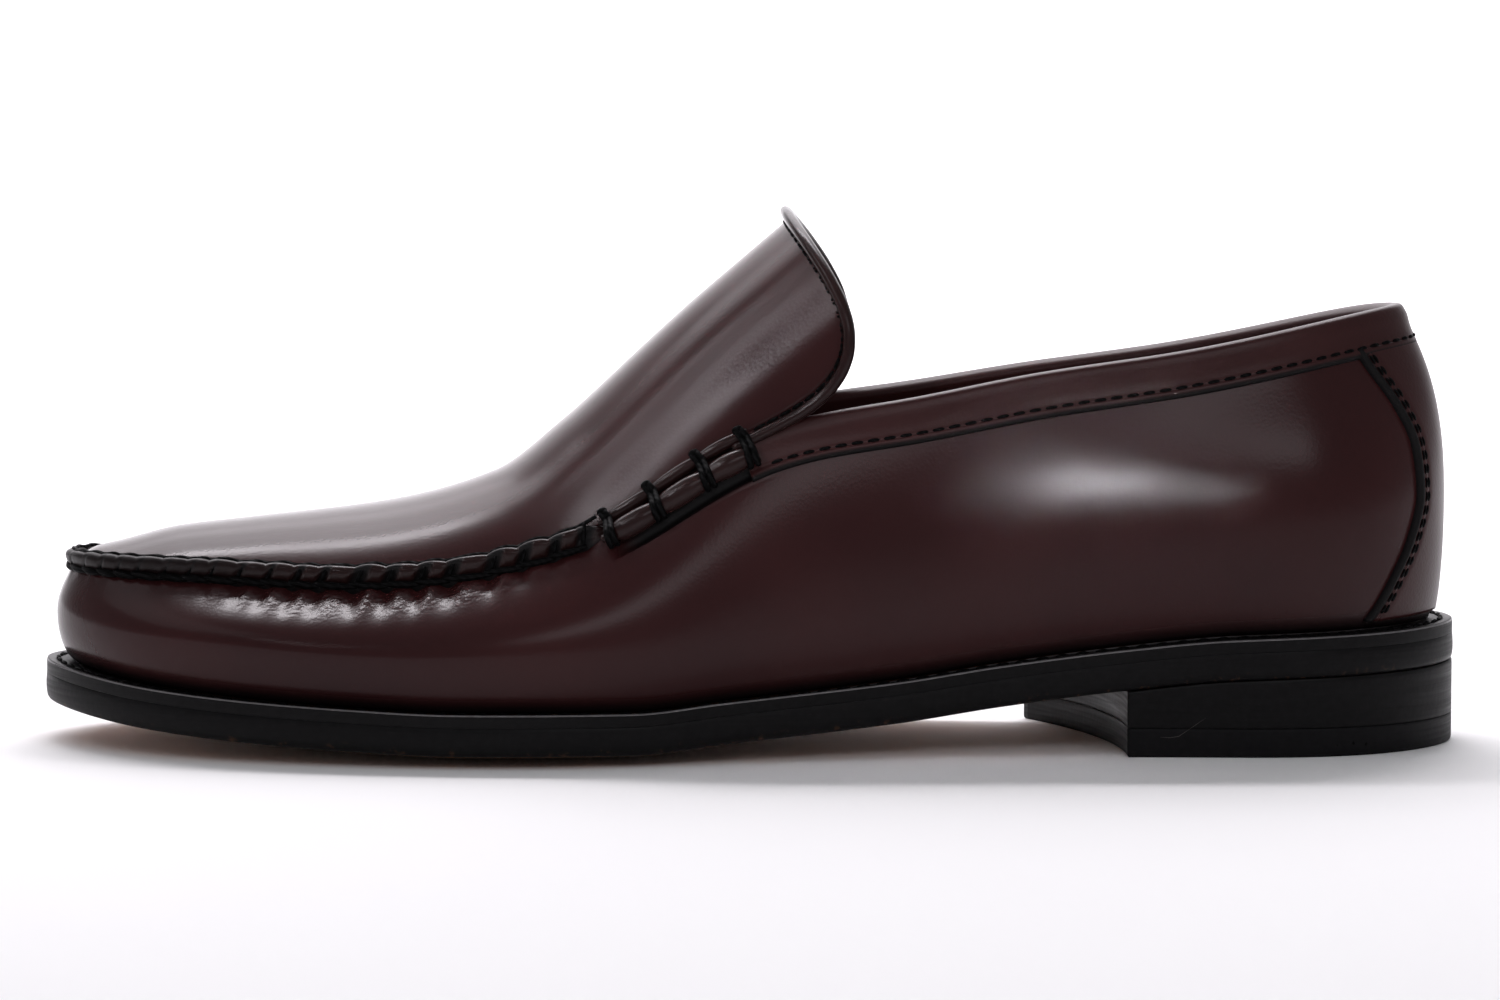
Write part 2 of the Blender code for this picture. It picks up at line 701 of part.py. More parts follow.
def main():
    for piece in list(bpy.data.objects):
        bpy.data.objects.remove(piece, do_unlink=True)
    burgundy = (0.045, 0.012, 0.012, 1.0)
    black = (0.012, 0.011, 0.011, 1.0)
    finish = {
        "upper": (burgundy, 0.3),
        "trim": (burgundy, 0.3),
        "sole": ((0.25, 0.12, 0.05, 1.0), 0.6),
        "welt": (black, 0.4),
        "heel": (black, 0.4),
        "top_piece": (black, 0.7),
        "insole": ((0.3, 0.16, 0.08, 1.0), 0.6),
    }
    last = Last()
    skin = Skin(last)
    build_sole(last, finish)
    build_heel(last, finish)
    build_upper(skin, finish)
    build_edges(skin, finish)
    build_rolls(skin, finish)
    build_strap(finish)
    centre_all()


main()
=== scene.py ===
"""A venetian loafer, left shoe, dressed over its solids.

The shoe lies along X with the toe at minus X, the outer side at minus Y and the floor at Z = 0.
The tables are in millimetres and repeat the last of the solids, with a slightly fuller toe.
"""
import math
from collections import namedtuple

import bpy
import numpy as np
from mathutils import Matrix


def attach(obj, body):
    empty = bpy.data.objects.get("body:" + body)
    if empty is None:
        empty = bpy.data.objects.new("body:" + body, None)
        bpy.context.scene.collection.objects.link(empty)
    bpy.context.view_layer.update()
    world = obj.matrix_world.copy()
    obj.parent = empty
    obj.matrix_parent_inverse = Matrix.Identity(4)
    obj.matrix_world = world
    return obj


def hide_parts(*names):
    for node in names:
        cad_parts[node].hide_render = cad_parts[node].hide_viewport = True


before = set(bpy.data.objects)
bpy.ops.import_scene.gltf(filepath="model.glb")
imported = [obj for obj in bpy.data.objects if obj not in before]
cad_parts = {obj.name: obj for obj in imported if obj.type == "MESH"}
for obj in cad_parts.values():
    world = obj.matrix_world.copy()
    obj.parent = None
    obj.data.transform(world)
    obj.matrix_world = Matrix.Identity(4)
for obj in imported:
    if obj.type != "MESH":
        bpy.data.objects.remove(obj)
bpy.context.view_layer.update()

MM = 0.001
WELD_DISTANCE = 2e-6

# The last, repeated from the solids
GAP = 0.35
UPPER_WALL = 2.0
OUTSOLE_THICK = 5.8
WELT_THICK = 2.65
WELT_INSIDE = 3.0
INSOLE_THICK = 4.6
TOP_PIECE_THICK = 6.0
FLOOR_CROWN_REACH = 32.0
CROWDING = 1.3

# Side wall: angle at which it leaves the welt, how far its curve runs upright from the belly and how far
# it runs straight into the top line, and the lowest share of the curve that the depths may reach.
WALL_START_DEG = 18.0
WALL_UPRIGHT = 0.42
WALL_ARRIVE = 0.36
WALL_LOWEST = 0.45

# Moves the shoe's box to the middle of the frame.
CENTRE_SHIFT = np.array([0.0, -0.352, 0.0])

# Round the shoe from the toe tip: the foot, where the upper meets the welt; the margin from there to the
# sole's edge; the belly's overhang and height; the seam or top line; and the wall's lean there in degrees.
Section = namedtuple("Section", "foot_x foot_y margin bulge belly top_x top_y top_z lean")
SECTIONS = (
    Section(-144.5, 3.0, 5.5, 3.2, 10.0, -144.0, 3.0, 38.2, 18.0),
    Section(-135.5, -17.0, 5.5, 3.1, 10.0, -134.5, -14.0, 37.9, 30.0),
    Section(-114.0, -33.5, 5.5, 3.0, 11.0, -108.5, -24.5, 36.9, 45.0),
    Section(-82.0, -43.8, 5.5, 3.2, 11.0, -76.0, -32.0, 36.4, 52.0),
    Section(-48.0, -47.3, 5.5, 3.2, 12.0, -45.0, -35.0, 41.2, 52.0),
    Section(-21.0, -44.0, 5.2, 3.2, 13.0, -24.0, -35.0, 50.6, 44.0),
    Section(6.0, -38.0, 4.8, 3.4, 15.0, 1.0, -33.5, 66.2, 32.0),
    Section(34.0, -32.6, 4.4, 3.6, 17.0, 31.0, -30.5, 72.9, 20.0),
    Section(62.0, -29.8, 4.2, 3.8, 19.0, 59.0, -28.0, 78.2, 14.0),
    Section(92.0, -29.4, 4.4, 3.8, 21.0, 89.0, -25.8, 82.6, 13.0),
    Section(120.0, -27.8, 4.8, 3.2, 23.0, 115.0, -20.8, 87.6, 16.0),
    Section(137.5, -17.0, 5.0, 2.6, 25.0, 131.0, -11.3, 90.6, 24.0),
    Section(145.0, 0.0, 5.0, 2.0, 25.0, 137.4, 0.0, 91.4, 30.0),
    Section(137.5, 17.0, 5.0, 2.6, 25.0, 131.0, 11.3, 90.4, 24.0),
    Section(120.0, 27.5, 4.8, 3.2, 23.0, 115.0, 20.6, 86.6, 16.0),
    Section(92.0, 27.8, 4.4, 4.0, 21.0, 89.0, 25.0, 81.3, 13.0),
    Section(62.0, 26.2, 4.0, 5.0, 19.0, 59.0, 26.8, 77.0, 14.0),
    Section(34.0, 27.5, 4.0, 5.4, 18.0, 31.0, 29.0, 72.4, 18.0),
    Section(6.0, 33.5, 4.4, 4.6, 16.0, 1.0, 32.0, 66.2, 28.0),
    Section(-22.0, 41.0, 5.0, 3.8, 14.0, -24.0, 35.0, 51.4, 42.0),
    Section(-50.0, 45.8, 5.5, 3.2, 12.0, -45.0, 35.5, 42.0, 52.0),
    Section(-82.0, 45.6, 5.5, 3.0, 11.0, -76.0, 33.5, 37.0, 52.0),
    Section(-113.0, 37.0, 5.5, 3.0, 11.0, -108.5, 27.8, 37.0, 45.0),
    Section(-135.5, 22.0, 5.5, 2.8, 10.0, -134.5, 18.8, 37.9, 30.0),
)
OUTER_THROAT, HEEL_BACK, INNER_THROAT = 6, 12, 18

# Underside of the sole: height along the middle, and how much higher its edge is.
Underside = namedtuple("Underside", "x middle edge_rise")
UNDERSIDE = (
    Underside(-150.0, 8.6, 0.0),
    Underside(-127.0, 4.8, 1.2),
    Underside(-107.0, 2.6, 2.0),
    Underside(-82.0, 0.8, 2.6),
    Underside(-60.0, 0.0, 2.7),
    Underside(-24.0, 0.0, 2.6),
    Underside(-6.0, 1.8, 2.4),
    Underside(31.0, 6.2, 1.4),
    Underside(52.0, 9.8, 0.8),
    Underside(78.0, 13.6, 0.2),
    Underside(102.0, 16.0, 0.0),
    Underside(150.0, 17.3, 0.0),
)

# Middle line of the apron beside each place on the seam, and the angle it turns through to get there.
Crest = namedtuple("Crest", "seam_x ridge_x ridge_y ridge_z wrap")
CREST = (
    Crest(-144.0, -144.0, 3.0, 38.2, 50.0),
    Crest(-139.0, -139.5, 3.0, 40.6, 52.0),
    Crest(-134.5, -134.0, 3.0, 42.0, 54.0),
    Crest(-122.0, -121.5, 3.2, 45.1, 58.0),
    Crest(-108.5, -108.0, 3.4, 46.7, 60.0),
    Crest(-76.0, -77.0, 3.6, 50.5, 62.0),
    Crest(-45.0, -54.5, 3.4, 56.8, 68.0),
    Crest(-24.0, -39.5, 3.0, 68.0, 76.0),
    Crest(1.0, -17.5, 2.0, 88.6, 84.0),
)

# Free part of the tongue: distance up the ridge from the throat, and how much of the wrap the row covers.
TongueRow = namedtuple("TongueRow", "along cover")
TONGUE = (
    TongueRow(0.0, 1.0),
    TongueRow(5.0, 1.03),
    TongueRow(11.0, 1.06),
    TongueRow(17.0, 1.06),
    TongueRow(22.0, 1.04),
    TongueRow(26.0, 1.0),
    TongueRow(29.5, 0.93),
    TongueRow(32.2, 0.82),
    TongueRow(33.8, 0.66),
    TongueRow(34.6, 0.45),
    TongueRow(34.9, 0.20),
    TongueRow(35.0, 0.02),
)
TONGUE_RISE = (26.3, 0.0, 22.3)

BREAST_OUTER_X = 78.8
BREAST_INNER_X = 60.2
BREAST_HOLLOW = 4.6

# Back strap: half the girth it covers at each share of the wall's height.
StrapRow = namedtuple("StrapRow", "share half_girth")
STRAP = (
    StrapRow(0.03, 30.5),
    StrapRow(0.06, 29.0),
    StrapRow(0.16, 25.0),
    StrapRow(0.28, 20.5),
    StrapRow(0.42, 17.5),
    StrapRow(0.56, 18.0),
    StrapRow(0.70, 21.0),
    StrapRow(0.83, 25.0),
    StrapRow(0.90, 26.8),
)

# Gathers of the apron seam: distance from the toe tip along the seam, and their pitch there.
Gather = namedtuple("Gather", "distance pitch")
GATHERS = (
    Gather(0.0, 5.0),
    Gather(35.0, 5.4),
    Gather(70.0, 6.6),
    Gather(100.0, 7.2),
    Gather(170.0, 7.0),
)

# Ridge: its height, the share of the seam where it ends, how far its gathers slant forward for each
# millimetre of height, and how far it is pressed down round the toe.
RIDGE_TALL = 4.2
RIDGE_LAST_SHARE = 0.85
RIDGE_SLANT = 0.55
RIDGE_PRESSED = np.array([0.0, 0.0, 0.8])

# Relief of the wall below the seam: height, distance below it and half width.
Relief = namedtuple("Relief", "height below width")
ROLL_GROOVE = Relief(-0.8, 6.6, 1.3)
ROLL_LIP = Relief(0.3, 8.0, 0.5)

# Puckers: gathers they lean aside for each millimetre down the wall, and how uneven they are.
PUCKER_LEAN = 0.03
PUCKER_UNEVEN = 0.35

# Share of the seam, toe tip to throat, at which each thread lash crosses the two rolls.
LASHES = (0.850, 0.903, 0.953, 0.994)
LOWER_ROLL_RADIUS = 2.4
UPPER_ROLL_RADIUS = 1.4
LASH_RADIUS = 0.66

# Half the gap between the two strands of a lash, as a share of the seam, and the knot above them.
LASH_HALF_GAP = 0.0026
KNOT_LOOP_RADIUS = 0.62
KNOT_THREAD_RADIUS = 0.55

# Half axes of the tongue's bead, and of the collar where it turns over the top line.
BEAD_HALF_HEIGHT = 1.75
BEAD_HALF_WIDTH = 1.3
COLLAR_HALF_WIDTH = 2.72
COLLAR_RISE = 1.55

# Rows of stitches, and where the rows on the tongue and the welt lie.
Stitch = namedtuple("Stitch", "pitch length radius")
TONGUE_STITCH = Stitch(3.0, 2.5, 0.42)
COLLAR_STITCH = Stitch(3.4, 2.5, 0.36)
STRAP_STITCH = Stitch(2.9, 2.2, 0.33)
WELT_STITCH = Stitch(4.2, 3.2, 0.5)
STITCH_FLATNESS = 0.75
TONGUE_STITCH_INSET = 2.1
WELT_STITCH_INSET = 2.5
WELT_STITCH_HEIGHT = 2.48

# Sole and heel: where the plates' rims end, the middle lines they close on, and the heel's points a side.
PLATE_RIM = 6.0
SPINE_FRONT_X = -112.0
SPINE_REAR_X = 116.0
HEEL_CENTRE = np.array([106.0, 0.0])
HEEL_SIDE_POINTS = 110

# Steps along each half of the seam, and the share of them that counts as the toe tip.
SEAM_STEPS = 420
TOE_SHARE = 0.16

# Softening of the throat: rows it reaches, and how often it is repeated.
THROAT_ROWS = 14.0
THROAT_PASSES = 160


# Curves and the last

def hermite(start, end, start_slope, end_slope, f):
    """Cubic from start to end at a share f of the way, with slopes given over the whole way."""
    near = start * (1 + 2 * f) * (1 - f) ** 2 + start_slope * f * (1 - f) ** 2
    return near + end * f ** 2 * (3 - 2 * f) + end_slope * f ** 2 * (f - 1)


def soft_table(table, name, at):
    """A column of a table, read along the first column by a smooth curve that never overshoots."""
    xs = np.array([row[0] for row in table])
    ys = np.array([getattr(row, name) for row in table])
    step = np.diff(xs)
    rise = np.diff(ys) / step
    slope = np.zeros_like(ys)
    slope[0] = rise[0]
    slope[-1] = rise[-1]
    for i in range(1, len(xs) - 1):
        if rise[i - 1] * rise[i] > 0.0:
            slope[i] = 2.0 * rise[i - 1] * rise[i] / (rise[i - 1] + rise[i])
    at = np.clip(np.asarray(at, float), xs[0], xs[-1])
    i = np.clip(np.searchsorted(xs, at, side="right") - 1, 0, len(xs) - 2)
    f = (at - xs[i]) / step[i]
    return hermite(ys[i], ys[i + 1], slope[i] * step[i], slope[i + 1] * step[i], f)


def ring_spline(knots, lap, values, at):
    """A smooth closed curve through the rows of values; gives its points and its slopes."""
    n = len(knots)
    gap = np.diff(np.append(knots, knots[0] + lap))
    matrix = np.zeros((n, n))
    right = np.zeros_like(values)
    for i in range(n):
        before, after = gap[i - 1], gap[i]
        matrix[i, i - 1] += 1.0 / before
        matrix[i, i] += 2.0 / before + 2.0 / after
        matrix[i, (i + 1) % n] += 1.0 / after
        right[i] = 3.0 * (values[i] - values[i - 1]) / before ** 2
        right[i] += 3.0 * (values[(i + 1) % n] - values[i]) / after ** 2
    slope = np.linalg.solve(matrix, right)
    at = np.mod(at, lap)
    i = np.clip(np.searchsorted(knots, at, side="right") - 1, 0, n - 1)
    j = (i + 1) % n
    h = gap[i][:, None]
    f = ((at - knots[i]) / gap[i])[:, None]
    rate = (values[j] - values[i]) * 6 * f * (1 - f) / h
    rate = rate + slope[i] * (1 - f) * (1 - 3 * f) + slope[j] * f * (3 * f - 2)
    return hermite(values[i], values[j], slope[i] * h, slope[j] * h, f), rate


def unit(vectors):
    length = np.linalg.norm(vectors, axis=-1, keepdims=True)
    return vectors / np.maximum(length, 1e-9)


def smooth_step(low, high, at):
    f = np.clip((np.asarray(at, float) - low) / (high - low), 0.0, 1.0)
    return f * f * (3.0 - 2.0 * f)


def bell(at, middle, width):
    return np.exp(-((np.asarray(at, float) - middle) / width) ** 2)


def run_length(path):
    """Distance along a path from its start to each of its points."""
    steps = np.linalg.norm(np.diff(path, axis=0), axis=1)
    return np.concatenate([[0.0], np.cumsum(steps)])


def read_rows(at, keys, rows):
    """Rows of numbers that belong to the keys, read at places between them."""
    return np.stack([np.interp(at, keys, column) for column in rows.T], axis=-1)


def rings(centre, first, second, count):
    """Rings of points round a path, each an ellipse with the half axes first and second."""
    turns = np.linspace(0.0, 2.0 * math.pi, count, endpoint=False)[None, :, None]
    return centre[:, None] + first[:, None] * np.cos(turns) + second[:, None] * np.sin(turns)


def underside(x, inset):
    """Height of the sole's underside at x, at a distance inside its edge."""
    from_crown = np.clip(1.0 - np.asarray(inset, float) / FLOOR_CROWN_REACH, 0.0, 1.0)
    return soft_table(UNDERSIDE, "middle", x) + soft_table(UNDERSIDE, "edge_rise", x) * from_crown ** 2


SECTION_TABLE = np.array(SECTIONS)
CHORDS = np.linalg.norm(np.roll(SECTION_TABLE[:, :2], -1, axis=0) - SECTION_TABLE[:, :2], axis=1)
KNOTS = np.concatenate([[0.0], np.cumsum(CHORDS)[:-1]])
LAP = float(CHORDS.sum())


class Last:
    """The sections of the shoe, read at the given stops round it."""

    def __init__(self, stops):
        values, rates = ring_spline(KNOTS, LAP, SECTION_TABLE, np.asarray(stops, float))
        along = unit(rates[:, :2])
        self.plan = values[:, :2]
        self.out = np.stack([along[:, 1], -along[:, 0]], axis=1)
        self.margin = values[:, 2]
        self.bulge = values[:, 3]
        self.belly = values[:, 4]
        self.top = values[:, 5:8]
        self.lean = np.radians(values[:, 8])

    def outline(self, beyond_foot):
        """Plan outline at a distance outside the line where the upper meets the welt."""
        return self.plan + self.out * np.reshape(beyond_foot, (-1, 1))

    def edge(self):
        """Plan outline of the sole."""
        return self.outline(self.margin)


def seam_stop(share, side):
    """Stop on the last at a share of the seam from the toe tip to the throat."""
    share = np.asarray(share, float) ** CROWDING
    if side == "outer":
        return KNOTS[OUTER_THROAT] * share
    return LAP - (LAP - KNOTS[INNER_THROAT]) * share


def wall(last, lower, upper, depths):
    """Outer face of the wall and the depth below its top line.

    lower gives turns of the swell over the welt from 0 to 1, upper gives shares of the rise above it
    up to the first depth, and depths are distances below the top line in millimetres.
    """
    up = np.array([0.0, 0.0, 1.0])
    foot_z = underside(last.plan[:, 0], last.margin) + OUTSOLE_THICK + GAP + WELT_THICK + GAP
    foot = np.column_stack([last.plan, foot_z])
    out = np.column_stack([last.out, np.zeros(len(foot))])
    start = math.radians(WALL_START_DEG)

    def swell(share):
        turn = start + (math.pi / 2 - start) * share
        across = (math.sin(turn) - math.sin(start)) / (1.0 - math.sin(start))
        rise = (math.cos(start) - math.cos(turn)) / math.cos(start)
        return foot + out * (last.bulge * across)[:, None] + up * (last.belly * rise)[:, None]

    belly = swell(1.0)
    inward = last.top - belly
    inward[:, 2] = 0.0
    inward = unit(inward)
    arrive = up * np.cos(last.lean)[:, None] + inward * np.sin(last.lean)[:, None]
    reach = np.linalg.norm(last.top - belly, axis=1)[:, None]
    first = belly + up * (WALL_UPRIGHT * (last.top[:, 2] - belly[:, 2]))[:, None]
    second = last.top - arrive * reach * WALL_ARRIVE

    def curve(f):
        f = np.reshape(f, (-1, 1))
        whole = belly * (1 - f) ** 3 + 3 * first * f * (1 - f) ** 2
        return whole + 3 * second * f ** 2 * (1 - f) + last.top * f ** 3

    final_rate = 3.0 * np.linalg.norm(last.top - second, axis=1)
    deepest = np.maximum(1.0 - depths[0] / final_rate, WALL_LOWEST)
    rows = [swell(share) for share in lower]
    rows += [curve(share * deepest) for share in upper]
    rows += [curve(1.0 - (1.0 - deepest) * depth / depths[0]) for depth in depths]
    grid = np.stack(rows, axis=1)
    steps = np.linalg.norm(np.diff(grid, axis=1), axis=2)
    climbs = np.cumsum(steps[:, ::-1], axis=1)[:, ::-1]
    return grid, np.concatenate([climbs, np.zeros((len(grid), 1))], axis=1)


def grid_normals(grid, lap=False):
    """Normals of a net laid on the last, columns going round it and rows going up."""
    if lap:
        padded = np.concatenate([grid[-1:], grid, grid[:1]], axis=0)
        along = (padded[2:] - padded[:-2]) * 0.5
    else:
        along = np.gradient(grid, axis=0)
    rise = np.gradient(grid, axis=1)
    return unit(np.cross(along, rise))


def apron(shares, tongue_along, across):
    """Apron and tongue: rows from the toe to the top of the tongue, points from outer to inner side."""
    outer = Last(seam_stop(shares, "outer")).top
    inner = Last(seam_stop(shares, "inner")).top
    middle = 0.5 * (outer[:, 0] + inner[:, 0])
    ridge = np.stack([soft_table(CREST, name, middle) for name in ("ridge_x", "ridge_y", "ridge_z")], axis=1)
    wrap = np.radians(soft_table(CREST, "wrap", middle))
    move = unit(np.array(TONGUE_RISE)) * np.asarray(tongue_along)[:, None]
    outer, inner, ridge = [np.concatenate([line, line[-1] + move]) for line in (outer, inner, ridge)]
    wrap = np.concatenate([wrap, np.full(len(tongue_along), wrap[-1])])[:, None]
    cover = np.concatenate([np.ones(len(shares)), soft_table(TONGUE, "cover", tongue_along)])[:, None]
    turn = wrap * (np.abs(across) * cover)
    swing = np.sin(turn) / np.sin(wrap)
    fall = (1.0 - np.cos(turn)) / (1.0 - np.cos(wrap))
    end = np.where((across < 0.0)[None, :, None], outer[:, None, :], inner[:, None, :])
    weights = np.stack([fall, swing, fall], axis=2)
    return ridge[:, None, :] + (end - ridge[:, None, :]) * weights


def soften_throat(grid, throat_row):
    """Rows near the throat drawn into one flowing curve from the apron to the tongue."""
    soft = grid.copy()
    weight = bell(np.arange(len(grid)), throat_row, THROAT_ROWS)[1:-1, None, None]
    for _ in range(THROAT_PASSES):
        middle = 0.5 * (soft[:-2] + soft[2:])
        soft[1:-1] += 0.8 * weight * (middle - soft[1:-1])
    return soft


# Laying leather, thread and sole pieces

def clear_selection():
    if bpy.context.object and bpy.context.object.mode != "OBJECT":
        bpy.ops.object.mode_set(mode="OBJECT")
    bpy.ops.object.select_all(action="DESELECT")


def finish_piece(piece, nodes):
    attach(piece, "root")
    if nodes:
        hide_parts(*nodes)


def turn_faces_outward(weld):
    """Turns every face of the active mesh outward, after joining points that lie on each other."""
    bpy.ops.object.mode_set(mode="EDIT")
    bpy.ops.mesh.select_all(action="SELECT")
    if weld:
        bpy.ops.mesh.remove_doubles(threshold=WELD_DISTANCE)
    bpy.ops.mesh.normals_make_consistent(inside=False)
    bpy.ops.object.mode_set(mode="OBJECT")


def lay(name, net, materials, nodes=(), cap=False, lap=False, loop=False, second=None, marks=None):
    """A grid cut to the net's size and laid on its points, closed where it meets itself.

    cap closes the first and the last column at their middle, lap joins the columns round and loop
    joins the rows round. The rows of faces in second take the second material. marks are named
    numbers for each point, for the materials to read.
    """
    marks = dict(marks or {})
    if cap:
        middle = np.repeat(net.mean(axis=1, keepdims=True), net.shape[1], axis=1)
        net = np.concatenate([middle[:1], net, middle[-1:]])
        marks = {key: np.concatenate([m[:1], m, m[-1:]]) for key, m in marks.items()}
    for closed, axis in ((lap, 0), (loop, 1)):
        if closed:
            net = np.concatenate([net, net.take([0], axis)], axis)
            marks = {key: np.concatenate([m, m.take([0], axis)], axis) for key, m in marks.items()}
    columns, rows = net.shape[:2]
    clear_selection()
    bpy.ops.mesh.primitive_grid_add(x_subdivisions=columns - 1, y_subdivisions=rows - 1, size=1.0)
    piece = bpy.context.object
    piece.name = name
    mesh = piece.data
    mesh.name = name
    placed = (net - CENTRE_SHIFT) * MM
    mesh.vertices.foreach_set("co", placed.transpose(1, 0, 2).reshape(-1))
    for key, mark in marks.items():
        layer = mesh.attributes.new(key, "FLOAT", "POINT")
        layer.data.foreach_set("value", mark.T.reshape(-1).astype(np.float32))
    around = np.linalg.norm(np.diff(placed, axis=0), axis=2).mean(axis=1)
    rising = np.linalg.norm(np.diff(placed, axis=1), axis=2).mean(axis=0)
    u = np.concatenate([[0.0], np.cumsum(around)])
    v = np.concatenate([[0.0], np.cumsum(rising)])
    corners = np.zeros(len(mesh.loops), dtype=np.int32)
    mesh.loops.foreach_get("vertex_index", corners)
    flat = np.stack([u[corners % columns], v[corners // columns]], axis=1)
    mesh.uv_layers.active.data.foreach_set("uv", flat.reshape(-1).astype(np.float32))
    for material in materials:
        mesh.materials.append(material)
    if second is not None:
        row_of_face = np.arange(len(mesh.polygons)) // (columns - 1)
        kinds = np.isin(row_of_face, list(second)).astype(np.int32)
        mesh.polygons.foreach_set("material_index", kinds)
    turn_faces_outward(weld=True)
    bpy.ops.object.shade_smooth()
    finish_piece(piece, nodes)


def two_faced(outer, inner):
    """Net of a closed sheet between two faces of the same size, its ends drawn together."""
    ring = np.concatenate([outer, inner[:, ::-1]], axis=1)
    middle = (outer + inner) * 0.5
    start = np.concatenate([middle[:1], middle[:1, ::-1]], axis=1)
    end = np.concatenate([middle[-1:], middle[-1:, ::-1]], axis=1)
    return np.concatenate([start, ring, end], axis=0)


def threads(name, runs, material, sides=6):
    """Many short threads joined in one mesh; a run is points, upward directions, radii and a flatness."""
    points, faces = [], []
    base = 0
    for path, lift, radius, flat in runs:
        along = unit(np.gradient(path, axis=0))
        side = unit(np.cross(along, lift))
        up = unit(np.cross(side, along))
        wide = radius[:, None]
        points.append(rings(path, up * flat * wide, side * wide, sides).reshape(-1, 3))
        for low in range(base, base + (len(path) - 1) * sides, sides):
            for a in range(sides):
                b = (a + 1) % sides
                faces.append((low + a, low + b, low + sides + b, low + sides + a))
        faces.append(tuple(base + a for a in reversed(range(sides))))
        base += len(path) * sides
        faces.append(tuple(base - sides + a for a in range(sides)))
    mesh = bpy.data.meshes.new(name)
    placed = (np.concatenate(points) - CENTRE_SHIFT) * MM
    mesh.from_pydata(placed.tolist(), [], faces)
    mesh.materials.append(material)
    mesh.update()
    piece = bpy.data.objects.new(name, mesh)
    bpy.context.collection.objects.link(piece)
    clear_selection()
    piece.select_set(True)
    bpy.context.view_layer.objects.active = piece
    turn_faces_outward(weld=False)
    bpy.ops.object.shade_smooth_by_angle(angle=math.radians(50.0))
    finish_piece(piece, ())


def stitch_runs(path, lift, stitch):
    """Sewn stitches along a path, each one rising out of its hole and dipping into the next."""
    reach = run_length(path)
    count = int(reach[-1] // stitch.pitch)
    along = stitch.length * np.array([-0.5, -0.36, -0.12, 0.12, 0.36, 0.5])
    height = stitch.radius * np.array([-0.9, 0.1, 0.45, 0.45, 0.1, -0.9])[:, None]
    width = stitch.radius * np.array([0.55, 0.9, 1.0, 1.0, 0.9, 0.55])
    runs = []
    for i in range(count):
        at = (i + 0.5) * reach[-1] / count + along
        up = unit(read_rows(at, reach, lift))
        runs.append((read_rows(at, reach, path) + up * height, up, width, STITCH_FLATNESS))
    return runs


# Materials

def srgb(hex_colour):
    """Linear colour of an sRGB hex value."""
    parts = [int(hex_colour[i:i + 2], 16) / 255.0 for i in (1, 3, 5)]
    return tuple(c / 12.92 if c <= 0.04045 else ((c + 0.055) / 1.055) ** 2.4 for c in parts) + (1.0,)


def node(tree, kind, settings=None, **links):
    """Adds a node; settings are attributes, inputs or two colour stops, links are inputs fed by others."""
    made = tree.nodes.new("ShaderNode" + kind)
    for key, value in (settings or {}).items():
        if key == "stops":
            for element, (position, colour) in zip(made.color_ramp.elements, value):
                element.position = position
                element.color = srgb(colour)
        elif isinstance(key, str) and hasattr(made, key):
            setattr(made, key, value)
        else:
            made.inputs[key].default_value = value
    for key, source in links.items():
        target = made.inputs[int(key[1:])] if key[0] == "n" and key[1:].isdigit() else made.inputs[key]
        tree.links.new(source, target)
    return made


def new_material(name, settings):
    material = bpy.data.materials.new(name)
    material.use_nodes = True
    tree = material.node_tree
    shader = tree.nodes["Principled BSDF"]
    for key, value in settings.items():
        shader.inputs[key].default_value = value
    return material, tree, shader


def polished_calf(name, light, dark, roughness, grain=1.0):
    """Box calf, aniline dyed and brush polished: deep colour that clears to red, close grain, soft gloss."""
    material, tree, shader = new_material(name, {"IOR": 1.26})
    place = node(tree, "TexCoord").outputs["Object"]
    # polish lies unevenly in clouds of about 30 mm
    soft = {"Scale": 33.0, "Detail": 1.0, "Roughness": 0.4}
    cloud = node(tree, "TexNoise", soft, Vector=place).outputs["Fac"]
    colour = node(tree, "ValToRGB", {"stops": ((0.0, dark), (1.0, light))}, Fac=cloud).outputs[0]
    # raw edges are inked black, and the same near-black paints shade into creases, grooves and gaps; both
    # are left dull
    ink_and_shade = node(tree, "Attribute", {"attribute_name": "ink_and_shade"}).outputs["Fac"]
    mixed = node(tree, "Mix", {"data_type": "RGBA", 7: srgb("#0a0809")}, n0=ink_and_shade, n6=colour)
    tree.links.new(mixed.outputs[2], shader.inputs["Base Color"])
    gloss = node(tree, "MapRange", {3: roughness - 0.05, 4: roughness + 0.05}, Value=cloud).outputs[0]
    dull = node(tree, "Math", {"operation": "MULTIPLY_ADD", 1: 0.3}, n0=ink_and_shade, n2=gloss)
    tree.links.new(dull.outputs[0], shader.inputs["Roughness"])
    # calf grain is about 0.2 mm; drawn at 0.7 mm so that it shows
    hide = node(tree, "TexVoronoi", {"Scale": 1400.0, "Randomness": 1.0}, Vector=place).outputs["Distance"]
    fine = node(tree, "TexNoise", {"Scale": 900.0, "Detail": 3.0}, Vector=place).outputs["Fac"]
    both = node(tree, "Math", {"operation": "ADD"}, n0=hide, n1=fine).outputs[0]
    bump = node(tree, "Bump", {"Strength": 0.055 * grain, "Distance": 0.0004}, Height=both).outputs["Normal"]
    # leather drawn in by a seam crinkles about every millimetre
    crinkle = node(tree, "TexNoise", {"Scale": 800.0, "Detail": 2.0}, Vector=place).outputs["Fac"]
    drawn = node(tree, "Attribute", {"attribute_name": "puckered"}).outputs["Fac"]
    folds = node(tree, "Bump", {"Distance": 0.0004}, Strength=drawn, Height=crinkle, Normal=bump)
    tree.links.new(folds.outputs["Normal"], shader.inputs["Normal"])
    return material


